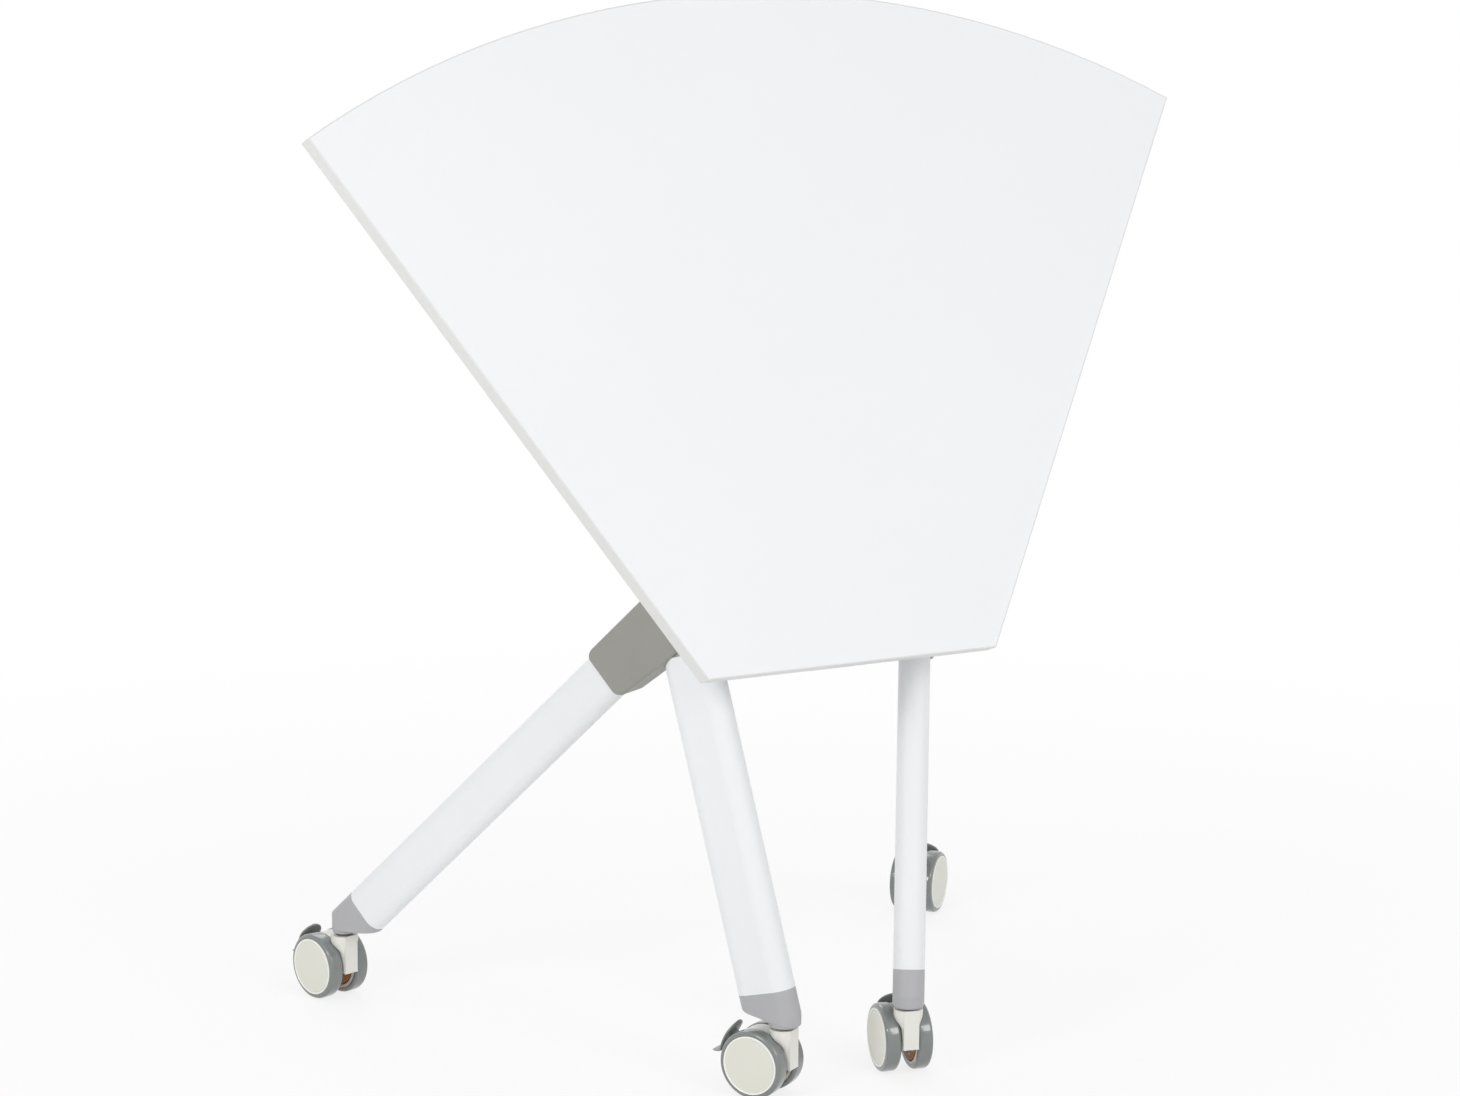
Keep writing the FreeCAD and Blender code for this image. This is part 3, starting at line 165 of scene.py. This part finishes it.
LAMINATE = surface("white_laminate", srgb(244, 245, 247), 0.5, spread=0.006, blotch=0.35, grain=0.0014,
                   relief=0.000012, gloss_spread=0.04, shine=0.15)
EDGING = surface("edge_strip", srgb(229, 229, 228), 0.45, spread=0.01, blotch=0.12, grain=0.0016,
                 relief=0.00002, shine=0.3)
LEG_PAINT = surface("leg_powder_coat", srgb(240, 242, 243), 0.46, spread=0.008, blotch=0.2, grain=0.0018,
                    relief=0.00003, gloss_spread=0.05, shine=0.35)
BEAM_PAINT = surface("beam_powder_coat", srgb(228, 229, 230), 0.4, spread=0.012, blotch=0.15, grain=0.0018,
                     relief=0.00004)
CASTING = surface("bare_casting", srgb(176, 177, 180), 0.5, spread=0.06, blotch=0.03, grain=0.0012,
                  relief=0.00008, metal=1.0)
COVER_GREY = surface("cover_plastic", srgb(152, 151, 145), 0.5, spread=0.02, blotch=0.06, grain=0.0009,
                     relief=0.00004)
CAP_GREY = surface("cap_plastic", srgb(178, 178, 180), 0.48, spread=0.02, blotch=0.05, grain=0.0009,
                   relief=0.00004)
CREAM = surface("cream_plastic", srgb(233, 232, 225), 0.3, spread=0.006, blotch=0.04, grain=0.0012,
                relief=0.000015, gloss_spread=0.02, coat=0.15)
DISC_CREAM = surface("disc_plastic", srgb(228, 228, 217), 0.34, spread=0.004, blotch=0.06, grain=0.0012,
                     relief=0.000012, gloss_spread=0.012)
BROWN = surface("brake_plastic", srgb(176, 124, 74), 0.5, spread=0.08, blotch=0.015, grain=0.001,
                relief=0.00005)
PEDAL_GREY = surface("pedal_plastic", srgb(142, 146, 143), 0.34, spread=0.025, blotch=0.03, grain=0.001,
                     relief=0.00003, coat=0.15)
TREAD_GREY = surface("tread_rubber", srgb(125, 130, 128), 0.22, spread=0.025, blotch=0.03, grain=0.0011,
                     relief=0.00001, gloss_spread=0.04, coat=0.6)
NYLON = surface("nylon", srgb(232, 230, 222), 0.45, spread=0.015, blotch=0.03, grain=0.001,
                relief=0.00002)
# Painted highlight: the bead round each disc's face takes a whiter plastic than the disc, standing in for
# the shine along its rounded edge.
BEAD_HIGHLIGHT = surface("bead_painted_highlight", srgb(250, 250, 246), 0.28, spread=0.004, blotch=0.03, grain=0.0012,
                     relief=0.00001, gloss_spread=0.02, coat=0.2)
# Painted shade: the caster stems sit in the shaded gap under the foot caps, and this dark brownish grey
# stands in for that shade on their zinc.
STEM_PAINTED_SHADE = surface("stem_painted_shade", srgb(96, 88, 80), 0.42, spread=0.06, blotch=0.01, grain=0.0008,
                    relief=0.00003, metal=0.7)
ZINC = surface("zinc_plate", srgb(196, 198, 202), 0.32, spread=0.05, blotch=0.012, grain=0.0008,
               relief=0.00003, metal=1.0)

SLOT_MATERIALS = {
    "board": LAMINATE,
    "edging": EDGING,
    "leg_paint": LEG_PAINT,
    "beam_paint": BEAM_PAINT,
    "casting": CASTING,
    "grey_plastic": COVER_GREY,
    "cream_plastic": CREAM,
    "brake_brown": BROWN,
    "pedal_plastic": PEDAL_GREY,
    "tread": TREAD_GREY,
    "nylon": NYLON,
    "zinc": ZINC,
}


def dress(node, material):
    """Gives a CAD node one material."""
    mesh = nodes[node].data
    if not mesh.materials:
        mesh.materials.append(material)
    for index in range(len(mesh.materials)):
        mesh.materials[index] = material


for part in frame["record"]["subparts"]:
    dress(part["node"], SLOT_MATERIALS[part["material_slot"]])
for end in ("front", "rear"):
    for side in ("left", "right"):
        dress(f"{end}_foot_cap_{side}", CAP_GREY)
# The stems take the dark painted-shade grey in place of their zinc.
dress("caster_stems", STEM_PAINTED_SHADE)


# Casters

def arc(centre, radius, start, end):
    """Points of an arc as (radius from the axle, place across), from and to angles in degrees."""
    points = []
    for step in range(ARC_STEPS + 1):
        angle = math.radians(start + (end - start) * step / ARC_STEPS)
        points.append((centre[0] + radius * math.cos(angle), centre[1] + radius * math.sin(angle)))
    return points


def add_piece(name, mesh, materials, body, crease=35):
    """A piece of the desk from mesh work in metres, smooth but for edges sharper than the crease."""
    bmesh.ops.remove_doubles(mesh, verts=mesh.verts, dist=MERGE)
    bmesh.ops.recalc_face_normals(mesh, faces=mesh.faces)
    for face in mesh.faces:
        face.smooth = True
    for edge in mesh.edges:
        edge.smooth = edge.calc_face_angle(math.pi) < math.radians(crease)
    data = bpy.data.meshes.new(name)
    mesh.to_mesh(data)
    mesh.free()
    for material in materials:
        data.materials.append(material)
    piece = bpy.data.objects.new(name, data)
    bpy.context.collection.objects.link(piece)
    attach(piece, body)
    return piece


def lathe(mesh, profile, place, closed, finishes=()):
    """Turns a profile of (radius, across) in millimetres about the Y axis of place, a matrix.
    Finishes number the material of each band from the first; later bands take the first material."""
    rings = []
    for radius, across in profile:
        ring = []
        for step in range(TURN_STEPS):
            angle = 2 * math.pi * step / TURN_STEPS
            spot = Vector((radius * math.cos(angle), across, radius * math.sin(angle))) * MM
            ring.append(mesh.verts.new(place @ spot))
        rings.append(ring)
    pairs = list(zip(rings, rings[1:]))
    if closed:
        pairs.append((rings[-1], rings[0]))
    for band, (low, high) in enumerate(pairs):
        for step in range(TURN_STEPS):
            after = (step + 1) % TURN_STEPS
            face = mesh.faces.new((low[step], low[after], high[after], high[step]))
            face.material_index = finishes[band] if band < len(finishes) else 0


def at_stem(corner):
    """The frame of a caster's stem on the floor, with X the way that the wheels trail."""
    x, y, heading = CASTERS[corner]
    return Matrix.Translation((x, y, 0)) @ Matrix.Rotation(math.radians(heading), 4, "Z")


def at_axle(corner):
    """The frame of a caster's axle, with Y along it."""
    return at_stem(corner) @ Matrix.Translation((TRAIL * MM, 0, WHEEL_RADIUS * MM))


def add_wheel(corner, hand, side):
    """A disc with a bead round its face, on a rim with a soft tyre that rolls over it."""
    place = at_axle(corner) @ Matrix.Scale(side, 4, (0, 1, 0))
    bead = DISC_RADIUS - BEAD_INSET
    face = DISC_OUTSIDE - FACE_SETBACK
    inside = DISC_OUTSIDE - DISC_THICKNESS
    bore = DISC_RADIUS - RIM_THICKNESS
    rim = DISC_RADIUS - FIT_GAP
    profile = [(radius, face + rise) for radius, rise in DISC_DOME]
    profile += [(bead - inset, face + rise) for inset, rise in GROOVE]
    finishes = [1] * (len(profile) - 1)
    # The bead's bands take the third material, the whiter plastic of the painted highlight.
    profile += arc((DISC_RADIUS - BEAD_RADIUS, DISC_OUTSIDE - BEAD_RADIUS), BEAD_RADIUS, BEAD_START, 0)
    finishes += [2] * (len(profile) - len(finishes))
    profile += [(rim, DISC_OUTSIDE - BEAD_DEPTH), (rim, WHEEL_INSIDE + EDGE_BREAK)]
    profile += [(DISC_RADIUS - EDGE_BREAK, WHEEL_INSIDE), (bore + EDGE_BREAK, WHEEL_INSIDE)]
    profile += [(bore, WHEEL_INSIDE + EDGE_BREAK), (bore, inside - FILLET)]
    profile += [(bore - FILLET_BELLY, inside - FILLET_BELLY), (bore - FILLET, inside)]
    profile += [(WHEEL_HUB_RADIUS + HUB_BREAK, inside), (WHEEL_HUB_RADIUS, inside - HUB_BREAK)]
    profile += [(WHEEL_HUB_RADIUS, WHEEL_HUB_INSIDE), (0, WHEEL_HUB_INSIDE)]
    mesh = bmesh.new()
    lathe(mesh, profile, place, False, finishes)
    disc = add_piece(f"{corner}_disc_{hand}", mesh, [CREAM, DISC_CREAM, BEAD_HIGHLIGHT],
                     f"{corner}_wheel_{hand}")
    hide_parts(f"{corner}_caster_wheel_{hand}")

    outside = DISC_OUTSIDE - TYRE_SETBACK
    shoulder = WHEEL_RADIUS - TYRE_SHOULDER
    seat = DISC_RADIUS + FIT_GAP
    profile = arc((shoulder, WHEEL_INSIDE + TYRE_SHOULDER), TYRE_SHOULDER, -90, 0)
    profile += [(WHEEL_RADIUS, (WHEEL_INSIDE + outside) / 2)]
    profile += arc((shoulder, outside - TYRE_SHOULDER), TYRE_SHOULDER, 0, SHOULDER_END)
    profile += [(DISC_RADIUS + LIP_START[0], outside - LIP_START[1])]
    profile += arc((seat + TYRE_LIP, outside - TYRE_LIP), TYRE_LIP, 90, 180)
    profile += [(seat, outside - SEAT_DEPTH), (seat, WHEEL_INSIDE + TYRE_BREAK)]
    profile += [(seat + TYRE_BREAK, WHEEL_INSIDE)]
    mesh = bmesh.new()
    lathe(mesh, profile, place, True)
    tyre = add_piece(f"{corner}_tyre_{hand}", mesh, [TREAD_GREY], f"{corner}_wheel_{hand}")
    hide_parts(f"{corner}_caster_tread_{hand}")


# Brake pedals: a leaf along the hood, set out from the axle at an angle
PEDAL_ANGLE = math.radians(33)
PEDAL_RADIUS = 52
PEDAL_UPPER = 19
PEDAL_LOWER = 30
PEDAL_HALF_WIDTH = 17
PEDAL_HALF_THICKNESS = 2
PEDAL_FLARE = 8
PEDAL_LIP = 8
PEDAL_TUCK = 5
TUCK_START = 6
END_THINNING = 0.35                                        # share of the thickness, at both ends
LIP_NARROWING = 0.12                                       # share of the width
LIP_CURVE = 1.5
LIP_CORNER = 4
LEAF_TIP = 0.05
PEDAL_PIVOT = 31
LUG_HALF_WIDTH = 3.7
LUG_REACH = 5
LUG_SINK = 1
LEAF_STEPS = 40
LEAF_SIDES = 32


def leaf_section(along):
    """Half width, half thickness and distance out from the axle of a pedal's leaf, in millimetres."""
    crown = PEDAL_UPPER - PEDAL_HALF_WIDTH
    width = PEDAL_HALF_WIDTH
    thickness = PEDAL_HALF_THICKNESS
    out = PEDAL_RADIUS
    if along > crown:
        share = (along - crown) / PEDAL_HALF_WIDTH
        width *= math.sqrt(max(0.0, 1 - share ** 2))
        thickness *= 1 - END_THINNING * share ** 2
    flare = PEDAL_FLARE - PEDAL_LOWER
    if along < TUCK_START:
        share = min(1.0, (TUCK_START - along) / (TUCK_START - flare))
        out -= PEDAL_TUCK * share ** 2
    if along < flare:
        share = (flare - along) / PEDAL_FLARE
        out += PEDAL_LIP * share ** LIP_CURVE
        thickness *= 1 - END_THINNING * share
        width *= 1 - LIP_NARROWING * share ** LIP_CORNER
    return width, thickness, out


def add_pedal(corner):
    """A curved leaf with a round upper end and a lip flared out below, on a lug in the web."""
    turn = at_axle(corner) @ Matrix.Rotation(-PEDAL_ANGLE, 4, "Y")
    mesh = bmesh.new()
    rings = []
    for step in range(LEAF_STEPS + 1):
        share = math.sin(math.pi / 2 * step / LEAF_STEPS)
        along = -PEDAL_LOWER + (PEDAL_UPPER + PEDAL_LOWER - LEAF_TIP) * share
        width, thickness, out = leaf_section(along)
        ring = []
        for side in range(LEAF_SIDES):
            angle = 2 * math.pi * (side + 0.5) / LEAF_SIDES
            level, rise = math.cos(angle), math.sin(angle)
            across = width * math.copysign(math.sqrt(abs(level)), level)
            height = thickness * math.copysign(math.sqrt(abs(rise)), rise)
            ring.append(mesh.verts.new(turn @ (Vector((out + height, across, along)) * MM)))
        rings.append(ring)
    for low, high in zip(rings, rings[1:]):
        for side in range(LEAF_SIDES):
            after = (side + 1) % LEAF_SIDES
            mesh.faces.new((low[side], low[after], high[after], high[side]))
    mesh.faces.new(rings[0])
    mesh.faces.new(rings[-1])
    outline = arc((PEDAL_PIVOT, 0), LUG_REACH, 90, 270)
    outline += [(PEDAL_RADIUS - LUG_SINK, -LUG_REACH), (PEDAL_RADIUS - LUG_SINK, LUG_REACH)]
    walls = []
    for across in (-LUG_HALF_WIDTH, LUG_HALF_WIDTH):
        spots = [Vector((out, across, along)) * MM for out, along in outline]
        walls.append([mesh.verts.new(turn @ spot) for spot in spots])
        mesh.faces.new(walls[-1])
    for spot in range(len(outline)):
        after = (spot + 1) % len(outline)
        mesh.faces.new((walls[0][spot], walls[0][after], walls[1][after], walls[1][spot]))
    pedal = add_piece(f"{corner}_pedal_leaf", mesh, [PEDAL_GREY], f"{corner}_pedal")
    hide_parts(f"{corner}_caster_pedal")


# Brake hubs: pins in the holes of the discs beside the web
PIN_COUNT = 10
PIN_PLACE = 24
PIN_RADIUS = 2.1
PIN_TIP = 0.7
PIN_HEAD = ((0.3, -0.25), (0.9, 0))                        # in from the pin's side, and rise past the hub
PIN_CROWN = 0.1
HUB_OUTSIDE = 15.8
WEB_HALF = 10


def add_brake_pins(corner):
    """Round-headed pins in the brake discs' holes, one piece for each caster."""
    mesh = bmesh.new()
    profile = [(0, WEB_HALF), (PIN_RADIUS, WEB_HALF), (PIN_RADIUS, HUB_OUTSIDE - PIN_TIP)]
    profile += [(PIN_RADIUS - inset, HUB_OUTSIDE + rise) for inset, rise in PIN_HEAD]
    profile += [(0, HUB_OUTSIDE + PIN_CROWN)]
    for side in (1, -1):
        for spot in range(PIN_COUNT):
            angle = 2 * math.pi * spot / PIN_COUNT
            shift = Vector((PIN_PLACE * math.cos(angle), 0, PIN_PLACE * math.sin(angle))) * MM
            place = at_axle(corner) @ Matrix.Scale(side, 4, (0, 1, 0)) @ Matrix.Translation(shift)
            lathe(mesh, profile, place, False)
    add_piece(f"{corner}_brake_pins", mesh, [NYLON], f"{corner}_swivel")


for corner in CASTERS:
    add_wheel(corner, "left", -1)
    add_wheel(corner, "right", 1)
    add_pedal(corner)
    add_brake_pins(corner)


# Apex covers: places are along and up each leg set's plane in millimetres, from its front stem
SET_ANGLE = math.radians(30)
STEM_SPREAD = 88
STEM_SETBACK = 330.5
APEX_ALONG = 156
APEX_UP = 606
REAR_LEAN = math.radians(45.92)
FRONT_LEAN = math.radians(15.46)
TRIM_START = 22
UPPER_EDGE = 33.2
SLEEVE_HALF = 38
HEAD_RADIUS = 44
SLEEVE_END = 150
SLEEVE_TRIM = 4.5
LOWER_SLOPE = 0.102
LOWER_TRIM = 1.8
FRONT_TRIM = 18
FRONT_END = 76
UPPER_EASE = (-30, 35)                                     # where each trim sets in and is full
LOWER_EASE = (40, 70)
SLEEVE_EASE = (95, SLEEVE_END)
FRONT_EASE = (35, FRONT_END)
FRONT_SIDE_EASE = (0, 45)
CUT_STEP = 8


def ease(number, start, end):
    """How far a number is on its way from start to end, from 0 to 1, with soft ends."""
    share = min(1.0, max(0.0, (number - start) / (end - start)))
    return share * share * (3 - 2 * share)


def trimmed(along, up):
    """Where a point of a cover goes so that the cover lies closer round the legs."""
    x, z = along - APEX_ALONG, up - APEX_UP
    down = x * math.sin(REAR_LEAN) - z * math.cos(REAR_LEAN)
    across = x * math.cos(REAR_LEAN) + z * math.sin(REAR_LEAN)
    if across > TRIM_START:
        edge = HEAD_RADIUS + (SLEEVE_HALF - HEAD_RADIUS) * min(1.0, max(0.0, down / SLEEVE_END))
        close = TRIM_START + (across - TRIM_START) * (UPPER_EDGE - TRIM_START) / (edge - TRIM_START)
        across += (close - across) * ease(down, *UPPER_EASE)
    elif across < -TRIM_START:
        edge = SLEEVE_HALF + (SLEEVE_END - down) * LOWER_SLOPE
        room = edge - TRIM_START
        close = -TRIM_START + (across + TRIM_START) * (room - LOWER_TRIM) / room
        across += (close - across) * ease(down, *LOWER_EASE)
    down -= SLEEVE_TRIM * ease(down, *SLEEVE_EASE)
    x = down * math.sin(REAR_LEAN) + across * math.cos(REAR_LEAN)
    z = -down * math.cos(REAR_LEAN) + across * math.sin(REAR_LEAN)
    below = -x * math.sin(FRONT_LEAN) - z * math.cos(FRONT_LEAN)
    beside = x * math.cos(FRONT_LEAN) - z * math.sin(FRONT_LEAN)
    below -= FRONT_TRIM * ease(below, *FRONT_EASE) * ease(HEAD_RADIUS - beside, *FRONT_SIDE_EASE)
    x = -below * math.sin(FRONT_LEAN) + beside * math.cos(FRONT_LEAN)
    z = -below * math.cos(FRONT_LEAN) - beside * math.sin(FRONT_LEAN)
    return APEX_ALONG + x, APEX_UP + z


def add_cover(half, side, sign):
    """A cover half like the solid one, trimmed closer to the legs."""
    node = f"hinge_cover_{half}_{side}"
    mesh = bmesh.new()
    mesh.from_mesh(nodes[node].data)
    bmesh.ops.remove_doubles(mesh, verts=mesh.verts, dist=MERGE)
    way = Vector((sign * math.sin(SET_ANGLE), math.cos(SET_ANGLE), 0))
    start = Vector((sign * STEM_SPREAD, -STEM_SETBACK, 0)) * MM
    apex = start + way * APEX_ALONG * MM + Vector((0, 0, APEX_UP * MM))
    rear = way * math.sin(REAR_LEAN) - Vector((0, 0, math.cos(REAR_LEAN)))
    front = -way * math.sin(FRONT_LEAN) - Vector((0, 0, math.cos(FRONT_LEAN)))
    for direction, end in ((rear, SLEEVE_END), (front, FRONT_END)):
        for step in range(CUT_STEP, end, CUT_STEP):
            whole = [*mesh.verts, *mesh.edges, *mesh.faces]
            cut = apex + direction * step * MM
            bmesh.ops.bisect_plane(mesh, geom=whole, plane_co=cut, plane_no=direction)
    for vert in mesh.verts:
        along = (vert.co - start).dot(way) / MM
        up = vert.co.z / MM
        new_along, new_up = trimmed(along, up)
        vert.co += way * (new_along - along) * MM + Vector((0, 0, (new_up - up) * MM))
    cover = add_piece(f"apex_cover_{half}_{side}", mesh, [COVER_GREY], "frame")
    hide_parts(node)


for half in ("outer", "inner"):
    add_cover(half, "left", -1)
    add_cover(half, "right", 1)


# Camera

def add_camera():
    """The camera that took the photograph."""
    ahead = Vector((math.sin(CAMERA_YAW) * math.cos(CAMERA_PITCH),
                    math.cos(CAMERA_YAW) * math.cos(CAMERA_PITCH),
                    -math.sin(CAMERA_PITCH)))
    level = Vector((math.cos(CAMERA_YAW), -math.sin(CAMERA_YAW), 0))
    down = ahead.cross(level)
    right = level * math.cos(CAMERA_ROLL) + down * math.sin(CAMERA_ROLL)
    bottom = down * math.cos(CAMERA_ROLL) - level * math.sin(CAMERA_ROLL)
    data = bpy.data.cameras.new("photo_camera")
    data.sensor_width = SENSOR_MM
    data.lens = FOCAL_PIXELS * SENSOR_MM / PICTURE_WIDTH
    data.clip_end = CAMERA_CLIP_END
    camera = bpy.data.objects.new("photo_camera", data)
    turn = Matrix((right, -bottom, -ahead)).transposed()
    camera.matrix_world = Matrix.Translation(CAMERA_PLACE) @ turn.to_4x4()
    bpy.context.collection.objects.link(camera)
    bpy.context.scene.camera = camera


add_camera()


# Studio

WHITE = (1.0, 1.0, 1.0, 1.0)
WORLD_LIGHT = 0.62
FLOOR_REACH = 30.0
FLOOR_COLOUR = (0.92, 0.92, 0.92, 1.0)
FLOOR_ROUGHNESS = 0.9
FLOOR_GLOW = 0.8
SHADOW_REACH = 0.5
WHITE_REACH = 2.2
# Lamps: place, target and size in metres, and power in watts
LAMPS = {
    "key_softbox": ((1.0, -3.6, 2.35), (0.0, -0.1, 0.6), (1.2, 1.3), 33),
    "left_softbox": ((-3.4, -1.5, 1.9), (0.0, 0.0, 0.5), (1.0, 0.8), 34),
    "back_softbox": ((0.5, 3.4, 3.0), (0.0, 0.0, 0.6), (2.4, 1.8), 24),
}


def white_to_eye(tree, lit, white, share=None):
    """Shows white to the eye, reflections and glass in place of a lit shader: all of it, or a share."""
    path = tree.nodes.new("ShaderNodeLightPath")
    seen = tree.nodes.new("ShaderNodeMath")
    seen.operation = "MAXIMUM"
    tree.links.new(path.outputs["Is Camera Ray"], seen.inputs[0])
    tree.links.new(path.outputs["Is Glossy Ray"], seen.inputs[1])
    through = tree.nodes.new("ShaderNodeMath")
    through.operation = "MAXIMUM"
    tree.links.new(seen.outputs["Value"], through.inputs[0])
    tree.links.new(path.outputs["Is Transmission Ray"], through.inputs[1])
    amount = through.outputs["Value"]
    if share is not None:
        part = tree.nodes.new("ShaderNodeMath")
        part.operation = "MULTIPLY"
        tree.links.new(amount, part.inputs[0])
        tree.links.new(share, part.inputs[1])
        amount = part.outputs["Value"]
    mix = tree.nodes.new("ShaderNodeMixShader")
    tree.links.new(amount, mix.inputs["Fac"])
    tree.links.new(lit, mix.inputs[1])
    tree.links.new(white, mix.inputs[2])
    return mix.outputs["Shader"]


def add_studio():
    """A white world, and a white floor that keeps the shadow near the desk."""
    world = bpy.data.worlds.new("studio")
    bpy.context.scene.world = world
    world.use_nodes = True
    tree = world.node_tree
    lit = tree.nodes["Background"]
    lit.inputs["Color"].default_value = WHITE
    lit.inputs["Strength"].default_value = WORLD_LIGHT
    white = tree.nodes.new("ShaderNodeBackground")
    white.inputs["Color"].default_value = WHITE
    shown = white_to_eye(tree, lit.outputs["Background"], white.outputs["Background"])
    tree.links.new(shown, tree.nodes["World Output"].inputs["Surface"])

    mesh = bpy.data.meshes.new("floor")
    half = FLOOR_REACH
    corners = [(-half, -half, 0), (half, -half, 0), (half, half, 0), (-half, half, 0)]
    mesh.from_pydata(corners, [], [(0, 1, 2, 3)])
    floor = bpy.data.objects.new("floor", mesh)
    bpy.context.collection.objects.link(floor)
    paper = bpy.data.materials.new("floor_paper")
    paper.use_nodes = True
    tree = paper.node_tree
    shader = tree.nodes["Principled BSDF"]
    shader.inputs["Base Color"].default_value = FLOOR_COLOUR
    shader.inputs["Roughness"].default_value = FLOOR_ROUGHNESS
    glow = tree.nodes.new("ShaderNodeEmission")
    glow.inputs["Color"].default_value = WHITE
    distance = tree.nodes.new("ShaderNodeVectorMath")
    distance.operation = "LENGTH"
    tree.links.new(tree.nodes.new("ShaderNodeTexCoord").outputs["Object"], distance.inputs[0])
    fade = tree.nodes.new("ShaderNodeMapRange")
    fade.inputs["From Min"].default_value = SHADOW_REACH
    fade.inputs["From Max"].default_value = WHITE_REACH
    fade.inputs["To Min"].default_value = FLOOR_GLOW
    fade.inputs["To Max"].default_value = 1.0
    tree.links.new(distance.outputs["Value"], fade.inputs["Value"])
    shown = white_to_eye(tree, shader.outputs["BSDF"], glow.outputs["Emission"], fade.outputs["Result"])
    tree.links.new(shown, tree.nodes["Material Output"].inputs["Surface"])
    mesh.materials.append(paper)


def add_lamp(name, place, target, size, power):
    """A softbox that faces its target."""
    data = bpy.data.lights.new(name, "AREA")
    data.shape = "RECTANGLE"
    data.size = size[0]
    data.size_y = size[1]
    data.energy = power
    lamp = bpy.data.objects.new(name, data)
    lamp.location = place
    lamp.rotation_mode = "QUATERNION"
    lamp.rotation_quaternion = (Vector(target) - Vector(place)).to_track_quat("-Z", "Y")
    bpy.context.collection.objects.link(lamp)


add_studio()
for name, settings in LAMPS.items():
    add_lamp(name, *settings)
bpy.context.scene.view_settings.view_transform = "Standard"
